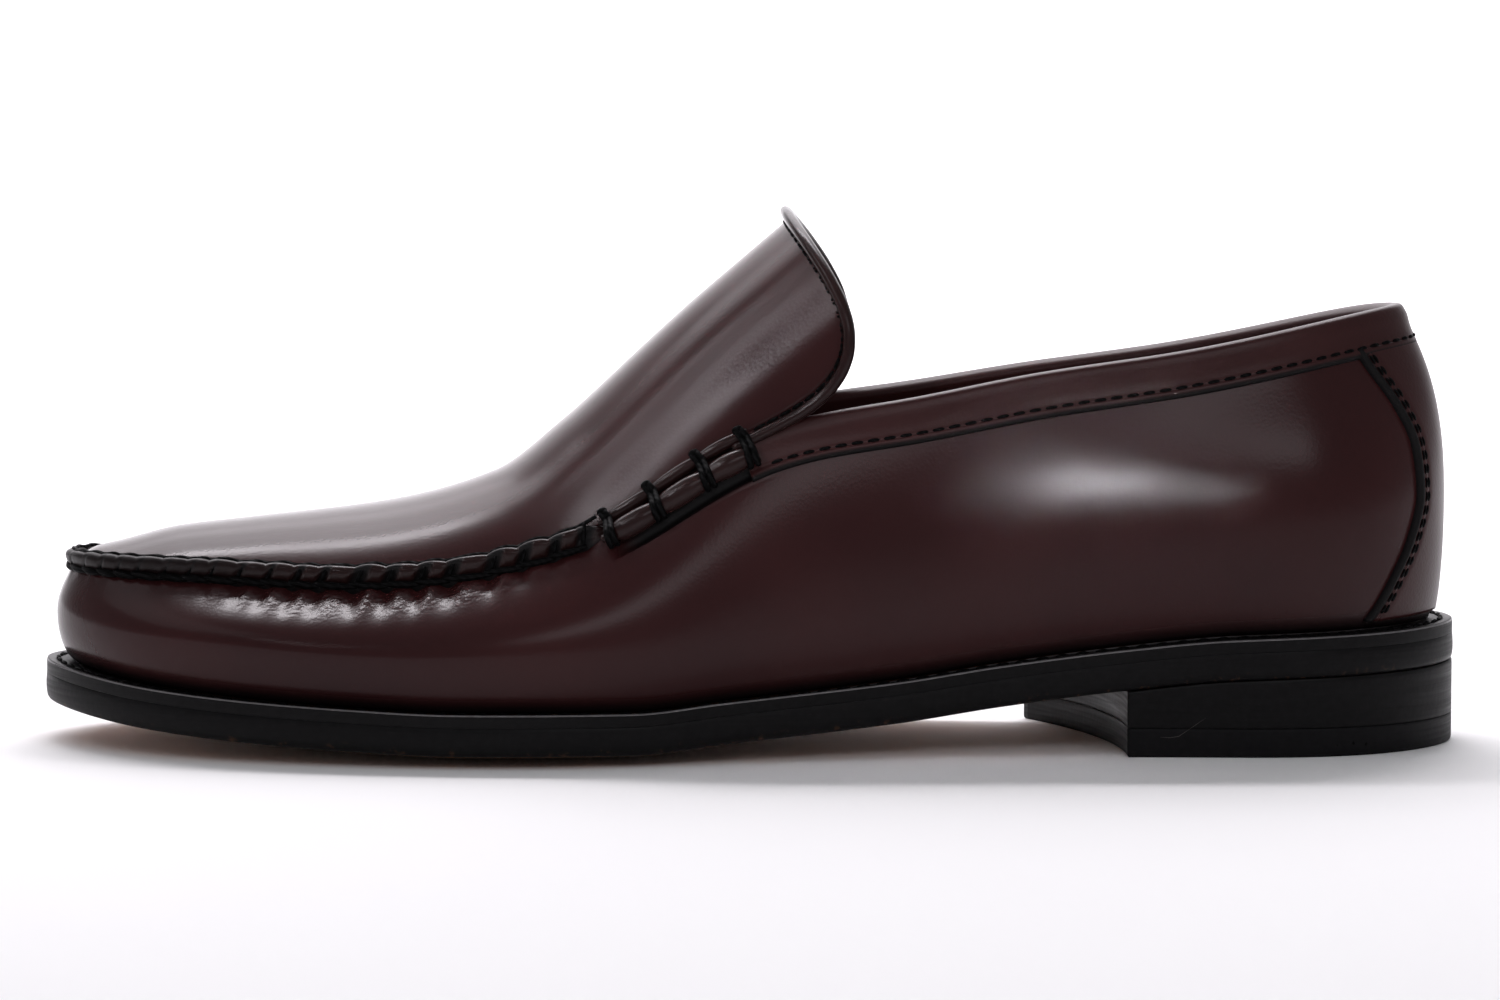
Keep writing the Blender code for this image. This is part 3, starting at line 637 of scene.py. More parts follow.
def waxed_thread():
    """Linen thread, twisted and drawn through black wax: nearly black, small glints along the twist."""
    material, tree, shader = new_material("waxed_linen_thread_twisted", {"IOR": 1.14, "Roughness": 0.55})
    place = node(tree, "TexCoord").outputs["Object"]
    # a turn of the twist is about 0.5 mm; drawn at 1 to 2 mm so that it shows
    waves = {"Scale": 320.0, "Distortion": 2.5, "Detail": 2.0, "bands_direction": "DIAGONAL"}
    twist = node(tree, "TexWave", waves, Vector=place).outputs["Fac"]
    colour = node(tree, "ValToRGB", {"stops": ((0.2, "#030303"), (0.9, "#0c0c0d"))}, Fac=twist)
    tree.links.new(colour.outputs[0], shader.inputs["Base Color"])
    bump = node(tree, "Bump", {"Strength": 0.4, "Distance": 0.0002}, Height=twist)
    tree.links.new(bump.outputs["Normal"], shader.inputs["Normal"])
    return material


def inked_edge(name, light, dark, roughness, ior=1.2):
    """Sole leather edge, rasped, inked black and waxed hot: dull black with fine level streaks and nicks."""
    material, tree, shader = new_material(name, {"IOR": ior})
    place = node(tree, "TexCoord").outputs["Object"]
    # rasp streaks lie level, about 0.7 mm apart and 30 mm long
    level = node(tree, "Mapping", {"Scale": (30.0, 30.0, 1500.0)}, Vector=place).outputs[0]
    rasped = {"Scale": 1.0, "Detail": 4.0, "Roughness": 0.65}
    streak = node(tree, "TexNoise", rasped, Vector=level).outputs["Fac"]
    speck = node(tree, "TexNoise", {"Scale": 700.0, "Detail": 2.0}, Vector=place).outputs["Fac"]
    both = node(tree, "Math", {"operation": "MULTIPLY"}, n0=streak, n1=speck).outputs[0]
    colour = node(tree, "ValToRGB", {"stops": ((0.12, dark), (0.5, light))}, Fac=both).outputs[0]
    # the ink has rubbed off in spots of about 2 mm along the lower corner
    spot = node(tree, "TexNoise", {"Scale": 520.0, "Detail": 3.0}, Vector=place).outputs["Fac"]
    rubbed = node(tree, "MapRange", {1: 0.60, 2: 0.70}, Value=spot).outputs[0]
    worn = node(tree, "Attribute", {"attribute_name": "worn"}).outputs["Fac"]
    bare = node(tree, "Math", {"operation": "MULTIPLY"}, n0=rubbed, n1=worn).outputs[0]
    mixed = node(tree, "Mix", {"data_type": "RGBA", 7: srgb("#3f2c20")}, n0=bare, n6=colour)
    tree.links.new(mixed.outputs[2], shader.inputs["Base Color"])
    gloss = node(tree, "MapRange", {1: 0.3, 2: 0.7, 3: roughness - 0.08, 4: roughness + 0.12}, Value=streak)
    tree.links.new(gloss.outputs[0], shader.inputs["Roughness"])
    bump = node(tree, "Bump", {"Strength": 0.25, "Distance": 0.0003}, Height=both)
    tree.links.new(bump.outputs["Normal"], shader.inputs["Normal"])
    return material


def dull_leather(name, light, dark, surface=(1.47, 0.62), cloud=(60.0, 4.0), grain=(1100.0, 0.2)):
    """Leather left unpolished: a dull colour in soft clouds, with fine pores.

    surface is IOR and roughness, cloud is the scale and detail of the colour, and grain is the scale
    and strength of the pores. Pores are finer than a millimetre; drawn at about 1 mm so that they show.
    """
    material, tree, shader = new_material(name, dict(zip(("IOR", "Roughness"), surface)))
    place = node(tree, "TexCoord").outputs["Object"]
    clouds = node(tree, "TexNoise", {"Scale": cloud[0], "Detail": cloud[1]}, Vector=place).outputs["Fac"]
    colour = node(tree, "ValToRGB", {"stops": ((0.3, dark), (0.7, light))}, Fac=clouds)
    tree.links.new(colour.outputs[0], shader.inputs["Base Color"])
    pores = node(tree, "TexVoronoi", {"Scale": grain[0]}, Vector=place).outputs["Distance"]
    bump = node(tree, "Bump", {"Strength": grain[1], "Distance": 0.0003}, Height=pores)
    tree.links.new(bump.outputs["Normal"], shader.inputs["Normal"])
    return material


calf = polished_calf("burgundy_box_calf_polished", "#371a1a", "#281213", 0.22, 0.6)
rolled_calf = polished_calf("burgundy_box_calf_rolled", "#291817", "#1b0f0f", 0.22)
trim_calf = polished_calf("burgundy_box_calf_trim", "#3c2020", "#2c1616", 0.34)
thread = waxed_thread()
edge_ink = inked_edge("sole_leather_edge_inked_waxed", "#141314", "#0b0a0b", 0.42)
# the welt's rim is painted a light grey: a painted highlight along its upper corner
rim_highlight = inked_edge("welt_rim_painted_highlight", "#6a6768", "#4f4c4d", 0.3, 1.5)
scuffed = inked_edge("sole_leather_edge_scuffed", "#4a4644", "#3a3735", 0.6)
rubber = inked_edge("heel_rubber_moulded_buffed", "#151416", "#0c0b0d", 0.5)
# sole bend, bark tanned and rolled: warm tan with darker clouds
tan_sole = dull_leather("bark_tanned_sole_bend_rolled", "#a06c42", "#7a4a2a",
                        (1.48, 0.55), (40.0, 5.0), (900.0, 0.15))
# lining calf, drum dyed: an even dull colour with a soft close grain
lining = dull_leather("lining_calf_drum_dyed", "#4a2a28", "#371d1c")
sock = dull_leather("insole_sock_calf_drum_dyed", "#6b4632", "#553526")


# The seam between apron and wall, sampled once for all that is sewn to it

class Seam:
    """Points, directions and distances along the seam, outer throat to toe tip to inner throat."""

    def __init__(self):
        shares = np.linspace(0.0, 1.0, SEAM_STEPS + 1)
        rows = apron(shares, np.zeros(0), np.linspace(-1.0, 1.0, 241))
        # round the toe tip the way inside turns steadily toward the heel
        toe_inside = unit(np.array([1.0, 0.0, 0.5]))
        early = shares < TOE_SHARE
        blend = (shares / TOE_SHARE)[early, None]
        halves = []
        for side, edge, near in (("outer", 0, 6), ("inner", -1, -7)):
            last = Last(seam_stop(shares, side))
            grid, _ = wall(last, (0.0, 1.0), (0.5,), (4.0, 2.0, 1.0, 0.0))
            down = unit(grid[:, -3] - grid[:, -1])
            inside = unit(rows[:, near] - rows[:, edge])
            settled = inside[int(np.argmax(~early))]
            inside[early] = unit(toe_inside * (1.0 - blend) + settled * blend)
            halves.append((last.top, down, inside, shares))
        joined = [np.concatenate([outer[::-1], inner[1:]]) for outer, inner in zip(*halves)]
        self.point, self.down, self.inside, self.share = joined
        reach = run_length(self.point)
        self.at = reach - reach[SEAM_STEPS]
        self.along = unit(np.gradient(self.point, axis=0))
        self.normal = unit(unit(np.cross(self.along, self.down)) + unit(np.cross(self.inside, self.along)))
        self.count_at = np.linspace(0.0, 175.0, 3501)
        pitch = soft_table(GATHERS, "pitch", self.count_at)
        self.count = np.concatenate([[0.0], np.cumsum(np.diff(self.count_at) / pitch[1:])])

    def read(self, name, at):
        return read_rows(at, self.at, getattr(self, name))

    def gathers(self, at):
        """How many gathers lie between the toe tip and a place on the seam."""
        even = np.sign(at) * np.interp(np.abs(at), self.count_at, self.count) + 0.5
        return even + 0.09 * np.sin(1.7 * even) + 0.05 * np.sin(3.3 * even + 1.0)

    def place_of_share(self, share, side):
        half = self.at <= 0.0 if side == "outer" else self.at >= 0.0
        shares, at = self.share[half], self.at[half]
        order = np.argsort(shares)
        return np.interp(share, shares[order], at[order])


seam = Seam()
RIDGE_FROM = seam.place_of_share(RIDGE_LAST_SHARE, "outer")
RIDGE_TO = seam.place_of_share(RIDGE_LAST_SHARE, "inner")
unevenness = np.random.default_rng(11).uniform(-1.0, 1.0, 240)


def uneven(count):
    """A steady small difference for each gather, so that no two are alike."""
    index = np.floor(count).astype(int) + 100
    return unevenness[np.clip(index, 0, len(unevenness) - 1)]


def ridge_fade(at):
    return smooth_step(RIDGE_FROM, RIDGE_FROM + 7.0, at) * (1.0 - smooth_step(RIDGE_TO - 7.0, RIDGE_TO, at))


# Upper: side wall, closed all round, outer face with puckers under the ridge and lining inside

def build_wall():
    throat_out, heel, throat_in = KNOTS[OUTER_THROAT], KNOTS[HEEL_BACK], KNOTS[INNER_THROAT]
    front = np.linspace(0.0, 1.0, 201)[:-1]
    back = np.linspace(0.0, 1.0, 111)[:-1]
    stops = np.concatenate([
        seam_stop(front ** (1.0 / CROWDING), "outer"),
        throat_out + (heel - throat_out) * back,
        heel + (throat_in - heel) * back,
        seam_stop(1.0 - front, "inner"),
    ])
    lower = np.linspace(0.0, 1.0, 12)
    upper = np.linspace(0.0, 1.0, 26)[1:-1]
    depths = np.concatenate([np.linspace(12.0, 2.0, 28), np.linspace(1.5, 0.0, 4)])
    grid, below = wall(Last(stops), lower, upper, depths)
    normals = grid_normals(grid, lap=True)
    outer, inner = stops <= throat_out, stops >= throat_in
    on_seam = (outer | inner).astype(float)
    at = np.zeros(len(stops))
    at[outer] = seam.place_of_share((stops[outer] / throat_out) ** (1.0 / CROWDING), "outer")
    at[inner] = seam.place_of_share(((LAP - stops[inner]) / (LAP - throat_in)) ** (1.0 / CROWDING), "inner")
    count = seam.gathers(at)
    ridge = (ridge_fade(at) * on_seam)[:, None]
    leaning = count[:, None] + below * PUCKER_LEAN
    swell = np.sin(math.pi * leaning) ** 2
    lively = 1.0 + PUCKER_UNEVEN * uneven(leaning)
    # the puckers are higher and run farther down the wall where the forepart bends
    bend = (toe_to_side(at) * (1.0 - 0.6 * smooth_step(98.0, 118.0, np.abs(at))))[:, None]
    relief = ridge * (0.18 + 0.50 * bend) * bell(below, 0.0, 3.0 + 5.6 * bend) * (2.0 * lively * swell - 1.0)
    relief += ridge * bend * 0.06 * bell(below, 4.0, 3.0) * np.sin(5.0 * math.pi * leaning)
    puckered = ridge * (0.25 + 0.75 * bend) * bell(below, 2.0, 3.0 + 4.0 * bend) * (0.35 + 0.65 * swell)
    # behind the ridge the wall dips under the rolls
    ridged = smooth_step(RIDGE_FROM - 6.0, RIDGE_FROM + 2.0, at)
    ridged *= 1.0 - smooth_step(RIDGE_TO - 2.0, RIDGE_TO + 6.0, at)
    rolls = (on_seam * (1.0 - ridged))[:, None]
    for band in (ROLL_GROOVE, ROLL_LIP):
        relief += rolls * band.height * bell(below, band.below, band.width)
    # the raw edge under the rolls is inked, and the groove beneath the lower roll gets painted shade in the
    # same black; the crease above the welt is painted dark as shade
    raw_edge_and_groove_shade = rolls * smooth_step(3.2, 4.2, below) * (1.0 - smooth_step(7.8, 8.4, below))
    crease_shade = 0.9 * (1.0 - smooth_step(0.6, 4.6, below[:, :1] - below))
    outer = grid + normals * relief[:, :, None]
    inner_rows = np.linspace(0, grid.shape[1] - 1, 15).astype(int)
    inner = (grid - normals * UPPER_WALL)[:, inner_rows][:, ::-1]
    net = np.concatenate([outer, inner], axis=1)
    bare = np.zeros(inner.shape[:2])
    marks = {"ink_and_shade": np.concatenate([np.maximum(raw_edge_and_groove_shade, crease_shade), bare], axis=1),
             "puckered": np.concatenate([puckered, bare], axis=1)}
    lay("upper_side_wall", net, [calf, lining], ("upper",), lap=True, loop=True,
        second=range(outer.shape[1], net.shape[1]), marks=marks)


def build_apron():
    shares = np.concatenate([np.linspace(0.004, 0.1, 14), np.linspace(0.11, 1.0, 190)])
    tongue = np.concatenate([np.linspace(0.7, 32.0, 46), np.linspace(32.3, 35.0, 18)])
    half = np.concatenate([1.0 - np.linspace(0.0, 0.08, 12), np.linspace(0.90, 0.0, 38)])
    across = np.concatenate([-half, half[::-1][1:]])
    grid = soften_throat(apron(shares, tongue, across), len(shares))
    normals = grid_normals(grid)
    normals[:3] = normals[3]
    # every row of the free tongue has the bend of the throat row, so it takes that row's normals
    throat = normals[len(shares) - 1]
    for k, cover in enumerate(soft_table(TONGUE, "cover", tongue)):
        place = np.clip(across * cover, -1.0, 1.0)
        normals[len(shares) + k] = unit(read_rows(place, across, throat))
    # a shallow groove for the stitches runs beside the bead of the free tongue
    steps = np.linalg.norm(np.diff(grid, axis=1), axis=2)
    from_left = np.concatenate([np.zeros((len(grid), 1)), np.cumsum(steps, axis=1)], axis=1)
    from_edge = np.minimum(from_left, from_left[:, -1:] - from_left)
    groove = 0.35 * bell(from_edge, TONGUE_STITCH_INSET, 0.5)
    groove[:len(shares)] = 0.0
    net = two_faced(grid - normals * groove[:, :, None], grid - normals * UPPER_WALL)
    lay("upper_apron_and_tongue", net, [calf, lining], (), loop=True,
        second=range(grid.shape[1], net.shape[1]))


# Moccasin ridge with its gathers and threads

def ridge_frame(at):
    """Place, upright and outward direction of the ridge at places on the seam."""
    normal = seam.read("normal", at)
    along = unit(seam.read("along", at))
    upright = unit(0.35 * normal + 0.65 * np.array([0.0, 0.0, 1.0]))
    upright = unit(upright - along * np.sum(upright * along, axis=-1, keepdims=True))
    outward = unit(np.cross(along, upright))
    flip = np.sign(np.sum(outward * normal, axis=-1, keepdims=True))
    # round the toe the ridge is pressed down into the wall
    point = seam.read("point", at) - RIDGE_PRESSED * bell(at, 0.0, 38.0)[:, None]
    return point, upright, outward * flip


def toe_to_side(at):
    """0 round the toe, where the ridge is pressed flat, and 1 along the sides."""
    return smooth_step(30.0, 75.0, np.abs(at))


def ridge_top(at):
    count = seam.gathers(at)
    puff = np.abs(np.sin(math.pi * count)) ** 0.7
    pressed = 1.0 - 0.12 * bell(at, 0.0, 25.0) - 0.40 * bell(at, 27.0, 22.0)
    lively = 0.4 + 0.6 * toe_to_side(at)
    return RIDGE_TALL * pressed * (0.84 + (0.14 + 0.07 * uneven(count)) * puff * lively)


def build_ridge():
    at = np.arange(RIDGE_FROM, RIDGE_TO, 0.34)
    point, upright, outward = ridge_frame(at)
    normal = seam.read("normal", at)
    down, inside = seam.read("down", at), seam.read("inside", at)
    fade = (0.25 + 0.75 * ridge_fade(at))[:, None]
    top = ridge_top(at)[:, None]
    # distance outward, and share of the ridge's height
    profile = ((1.15, 0.10), (1.30, 0.22), (1.42, 0.36), (1.48, 0.52), (1.42, 0.68), (1.22, 0.82),
               (0.86, 0.93), (0.36, 0.99), (-0.20, 1.0), (-0.72, 0.95), (-1.05, 0.82), (-1.2, 0.62),
               (-1.25, 0.40), (-1.3, 0.18))
    # painted shade: the foot of the ridge and the gaps between gathers are painted black and its inner face
    # half dark, standing in for the shade there; round the toe the whole ridge is painted darker
    rows = [point + down * 3.0 - normal * 0.6]
    ink_and_shade = [np.ones(len(at))]
    # the gaps between gathers are narrow at the toe and half the pitch along the sides
    gap = smooth_step(45.0, 85.0, np.abs(at))
    side_share = toe_to_side(at)
    for out, high in profile:
        rise = high * top
        count = seam.gathers(at + RIDGE_SLANT * rise[:, 0])
        pillow = np.abs(np.sin(math.pi * count))
        puff = smooth_step(0.02 + 0.36 * gap, 0.45 + 0.45 * gap, pillow)
        lively = (1.0 if out > 0.0 else 0.35) * (0.35 + 0.65 * side_share)
        round_part = math.sin(math.pi * min(high, 0.98) ** 0.8)
        width = out - (1.0 - puff) * 1.05 * round_part * lively
        width = width + 0.22 * uneven(count + 7.0) * puff * round_part
        width = np.where(out > 0.0, width, out * (0.8 + 0.2 * puff))
        rows.append(point + upright * rise * fade + outward * width[:, None] * fade)
        # painted shade in the gaps between gathers
        black = 1.0 - smooth_step(0.10 + 0.40 * gap, 0.30 + 0.45 * gap, pillow)
        black = black if out > 0.0 else np.full(len(at), 0.5)
        ink_and_shade.append(np.maximum(black, 0.6 * (1.0 - side_share)))
    rows.append(point + inside * 2.6 - normal * 0.6)
    rows.append(point - normal * 1.2)
    ink_and_shade += [np.full(len(at), 0.6), np.ones(len(at))]
    net = np.stack(rows, axis=1)
    lay("apron_ridge", net, [rolled_calf], (), cap=True, loop=True,
        marks={"ink_and_shade": np.stack(ink_and_shade, axis=1)})


def build_ridge_threads():
    runs = []
    first = math.ceil(seam.gathers(RIDGE_FROM + 1.0))
    final = math.floor(seam.gathers(RIDGE_TO - 1.0))
    fine = np.linspace(RIDGE_FROM, RIDGE_TO, 2400)
    counts = seam.gathers(fine)
    for k in range(first, final):
        at = np.interp(np.linspace(k - 0.10, k + 1.10, 9), counts, fine)
        point, upright, outward = ridge_frame(at)
        drift = np.linspace(-0.35, 0.35, 9)[:, None]
        bow = np.sin(np.linspace(0.0, math.pi, 9))[:, None]
        round_toe = (0.5 + 0.5 * smooth_step(8.0, 30.0, np.abs(at)))[:, None]
        path = point + upright * (0.5 + drift) + outward * (1.0 + 0.35 * bow) * round_toe
        path = path + seam.read("down", at) * 0.9
        radius = 0.42 + 0.36 * bow[:, 0]
        runs.append((path, outward, radius, 1.0))
        # the thread climbs over the ridge in the crease between two gathers
        high = np.linspace(0.1, 1.02, 7)
        spot = float(np.interp(k, counts, fine))
        tall = float(ridge_top(np.array([spot]))[0])
        slanted = spot - RIDGE_SLANT * high * tall
        point, upright, outward = ridge_frame(slanted)
        width = np.array([1.2, 1.0, 0.85, 0.85, 0.75, 0.35, -0.55])[:, None]
        path = point + upright * (high * tall)[:, None] + outward * width
        runs.append((path, outward, np.full(7, 0.30 + 0.16 * float(toe_to_side(spot))), 1.0))
    at = np.arange(RIDGE_FROM + 2.0, RIDGE_TO - 2.0, 0.8)
    point, upright, outward = ridge_frame(at)
    wave = 0.12 * np.sin(2.0 * math.pi * seam.gathers(at))[:, None]
    path = point + upright * (ridge_top(at)[:, None] - 0.15 + wave) - outward * 0.75
    runs.append((path, upright, np.full(len(at), 0.42), 1.0))
    threads("ridge_threads", runs, thread, sides=7)


# Side rolls and the lashes that draw them in

def roll_frame(side, shares):
    """Middle lines of the lower and the upper roll, with the seam's directions there."""
    at = seam.place_of_share(shares, side)
    names = ("point", "normal", "down", "inside", "along")
    point, normal, down, inside, along = [seam.read(name, at) for name in names]
    low = point + down * (LOWER_ROLL_RADIUS + 0.9) + normal * (LOWER_ROLL_RADIUS + 0.1)
    high = point + inside * (UPPER_ROLL_RADIUS + 0.1) + normal * (UPPER_ROLL_RADIUS + 0.2)
    return low, high, normal, down, inside, unit(along)


def lash_run(side, spots):
    """A strand that comes over the upper roll and goes on round the lower one."""
    low, high, normal, down, inside, _ = roll_frame(side, spots)
    over = np.linspace(-2.0, 0.5, 6)[:, None]
    under = np.linspace(-0.55, 2.0, 9)[:, None]
    upper_reach = UPPER_ROLL_RADIUS * 0.86 + LASH_RADIUS * 0.7
    lower_reach = LOWER_ROLL_RADIUS * 0.84 + LASH_RADIUS * 0.7
    upper = high[:6] + upper_reach * (normal[:6] * np.cos(over) - inside[:6] * np.sin(over))
    lower = low[6:] + lower_reach * (normal[6:] * np.cos(under) + down[6:] * np.sin(under))
    return np.concatenate([upper, lower]), normal, np.full(15, LASH_RADIUS), 0.85


def knot_run(side, lash):
    """The small knot at the upper end of a lash."""
    _, high, normal, _, inside, along = roll_frame(side, np.full(9, lash))
    turns = np.linspace(0.0, 1.85 * math.pi, 9)[:, None]
    middle = high + normal * 0.9 + inside * 1.5
    loop = middle + KNOT_LOOP_RADIUS * (np.cos(turns) * along + np.sin(turns) * normal)
    return loop, inside, np.full(9, KNOT_THREAD_RADIUS), 1.0


def build_rolls():
    shares = np.linspace(RIDGE_LAST_SHARE - 0.012, 1.0, 90)
    pinch = np.max([bell(shares, lash, 0.011) for lash in LASHES], axis=0)
    taper = smooth_step(shares[0], shares[0] + 0.02, shares)
    swell = ((1.06 - 0.24 * pinch) * (0.35 + 0.65 * taper))[:, None]
    runs = []
    for side in ("outer", "inner"):
        low, high, normal = roll_frame(side, shares)[:3]
        for name, centre, radius in (("lower", low, LOWER_ROLL_RADIUS), ("upper", high, UPPER_ROLL_RADIUS)):
            across = unit(np.cross(unit(np.gradient(centre, axis=0)), normal))
            net = rings(centre, radius * swell * normal, radius * swell * across, 24)
            lay(side + "_" + name + "_side_roll", net, [rolled_calf],
                (side + "_" + name + "_roll",), cap=True, loop=True)
        for lash in LASHES:
            for strand in (-LASH_HALF_GAP, LASH_HALF_GAP):
                slant = np.linspace(0.7, 1.3, 15) * strand
                runs.append(lash_run(side, np.clip(lash + slant, 0.0, 1.0)))
            runs.append(knot_run(side, lash))
    threads("side_lashes", runs, thread, sides=8)


# Tongue bead and collar band

def build_tongue_bead():
    shares = np.linspace(0.8, 1.0, 44)
    tongue = np.concatenate([np.linspace(0.7, 32.0, 46), np.linspace(32.2, 35.0, 40)])
    half = np.array([1.0, 0.985, 0.97, 0.955])
    across = np.concatenate([-half, half[::-1]])
    grid = soften_throat(apron(shares, tongue, across), len(shares))[len(shares) - 4:]
    border = np.concatenate([grid[:, 0], grid[::-1, -1]])
    along = unit(np.gradient(border, axis=0))
    fall = -unit(np.array(TONGUE_RISE))

    def squared(vectors):
        return unit(vectors - along * np.sum(vectors * along, axis=1, keepdims=True))

    inward = np.concatenate([grid[:, 2], grid[::-1, -3]]) - border
    inward[np.linalg.norm(inward, axis=1) < 0.05] = fall
    top_zone = bell(np.arange(len(border)), len(grid), 30)[:, None]
    inward = squared(squared(inward) * (1.0 - top_zone) + fall * top_zone)
    normal = unit(np.cross(inward, along))
    heart = border - normal * 1.0 + inward * 0.45
    net = rings(heart, BEAD_HALF_HEIGHT * normal, -BEAD_HALF_WIDTH * inward, 26)
    lay("tongue_bead", net, [rolled_calf], ("tongue_binding",), cap=True, loop=True)
    row = border + inward * TONGUE_STITCH_INSET + normal * 0.05
    threads("tongue_stitches", stitch_runs(row[6:-6], normal[6:-6], TONGUE_STITCH), thread)


def build_collar():
    throat_out, heel, throat_in = KNOTS[OUTER_THROAT], KNOTS[HEEL_BACK], KNOTS[INNER_THROAT]
    stops = np.concatenate([
        np.linspace(throat_out - 2.5, heel, 120),
        np.linspace(heel, throat_in + 2.5, 120)[1:],
    ])
    # depth below the top line, and height of the band over the wall
    outer_rows = ((8.9, 0.05), (8.8, 0.55), (8.6, 0.85), (8.2, 1.0), (7.6, 1.05), (7.1, 1.0), (6.7, 0.78),
                  (6.3, 1.0), (5.8, 1.05), (5.0, 1.1), (4.2, 1.2), (3.4, 1.35), (2.6, 1.55), (1.8, 1.7),
                  (1.0, 1.75), (0.3, 1.72))
    inner_rows = ((0.3, 1.7), (1.5, 1.6), (3.0, 1.3), (5.0, 1.1), (7.0, 1.0), (8.4, 0.9), (8.8, 0.1))
    stitch_row = 6
    depths = np.array([depth for depth, _ in outer_rows])
    grid, _ = wall(Last(stops), (0.0, 1.0), (0.5, 0.8), tuple(depths) + (0.0,))
    deep = grid[:, -len(depths) - 1:]
    normals = grid_normals(grid)[:, -len(depths) - 1:]
    rim, rim_normal = deep[:, -1], normals[:, -1]
    away = unit(rim - deep[:, -4])
    rows = [deep[:, i] + normals[:, i] * height for i, (_, height) in enumerate(outer_rows)]
    for turn in np.linspace(0.12, math.pi - 0.12, 9):
        reach = COLLAR_HALF_WIDTH * math.cos(turn) - 0.5 * UPPER_WALL
        rows.append(rim + rim_normal * reach + away * COLLAR_RISE * math.sin(turn))
    for depth, height in inner_rows:
        i = int(round(np.interp(depth, depths[::-1], np.arange(len(depths))[::-1])))
        rows.append(deep[:, i] - normals[:, i] * (UPPER_WALL + height))
    net = np.stack(rows, axis=1)
    # the raw lower edge is inked
    ink_and_shade = np.zeros(net.shape[:2])
    ink_and_shade[:, :len(depths)] = smooth_step(7.7, 8.3, depths)
    lay("collar_rolled_band", net, [trim_calf], ("collar_band",), cap=True, loop=True,
        marks={"ink_and_shade": ink_and_shade})
    lift = normals[3:-3, stitch_row]
    row = deep[3:-3, stitch_row] + lift * 0.92
    threads("collar_stitches", stitch_runs(row, lift, COLLAR_STITCH), thread)


# Back strap, with two rows of stitches along each edge

def build_strap():
    girth = np.linspace(-34.0, 34.0, 137)
    last = Last(KNOTS[HEEL_BACK] + girth)
    grid, _ = wall(last, np.linspace(0.0, 1.0, 14), np.linspace(0.0, 1.0, 50)[1:-1], (8.0, 4.0, 0.0))
    levels = [run_length(column) / run_length(column)[-1] for column in grid]
    shares = np.linspace(STRAP[0].share, STRAP[-1].share, 90)
    # distance in from the strap's edge, and height over the wall, with grooves for two rows of stitches
    edge_profile = ((0.0, -0.25), (0.05, 0.35), (0.2, 0.8), (0.5, 1.15), (0.9, 1.3), (1.3, 1.25),
                    (1.65, 1.05), (1.9, 0.8), (2.05, 0.95), (2.3, 0.82), (2.55, 0.98), (2.95, 0.98),
                    (3.2, 0.85), (3.45, 1.0), (5.0, 1.0))
    inset, lift = np.array(edge_profile).T
    stitch_columns = (9, 12, -10, -13)
    middle = np.linspace(-1.0, 1.0, 25)[1:-1]

    def both_edges(side):
        return np.concatenate([side, np.ones(len(middle)), side[::-1]])

    face = []
    for share, reach in zip(shares, soft_table(STRAP, "half_girth", shares)):
        row = np.array([read_rows(share, level, column) for level, column in zip(levels, grid)])
        place = np.concatenate([inset - reach, middle * (reach - 5.0), reach - inset[::-1]])
        face.append(read_rows(place, girth, row))
    face = np.array(face)
    normals = -grid_normals(face)
    net = two_faced(face + normals * both_edges(lift)[:, None], face - normals * 0.4)
    # the raw edge is inked
    ink_and_shade = 1.0 - both_edges((inset >= 1.95).astype(float))
    marks = np.tile(np.concatenate([ink_and_shade, ink_and_shade[::-1]]), (len(net), 1))
    lay("heel_back_strap", net, [trim_calf], ("heel_strap",), loop=True,
        marks={"ink_and_shade": marks})
    runs = []
    for i in stitch_columns:
        row = face[:, i] + normals[:, i] * 0.98
        runs += stitch_runs(row[2:-2], normals[2:-2, i], STRAP_STITCH)
    threads("heel_strap_stitches", runs, thread)


# Sole: welt, outsole, insole and heel

def sole_stops():
    half = np.linspace(0.0, 1.0, 241)[:-1]
    heel = KNOTS[HEEL_BACK]
    return np.concatenate([heel * half, heel + (LAP - heel) * half])


def spine_points(edge):
    """Middle line that the rings of a plate close on, the same for both sides."""
    pair = -np.arange(len(edge)) % len(edge)
    middle = 0.5 * (edge + edge[pair])
    middle[:, 0] = np.clip(middle[:, 0], SPINE_FRONT_X, SPINE_REAR_X)
    front = middle[:, 0] <= SPINE_FRONT_X
    middle[front, 1] = middle[front, 1][-1]
    middle[middle[:, 0] >= SPINE_REAR_X, 1] = 0.0
    return middle


sole = Last(sole_stops())
spine = spine_points(sole.edge())


def sole_ring(inset, rise, share=0.0):
    """A ring that starts inside the sole's edge and lies a share of the way to the middle line.

    rise is its height over the underside.
    """
    first = sole.outline(sole.margin - inset)
    plan = first + (spine - first) * share
    depth = inset + np.linalg.norm(plan - first, axis=1)
    return np.column_stack([plan, underside(plan[:, 0], depth) + rise])


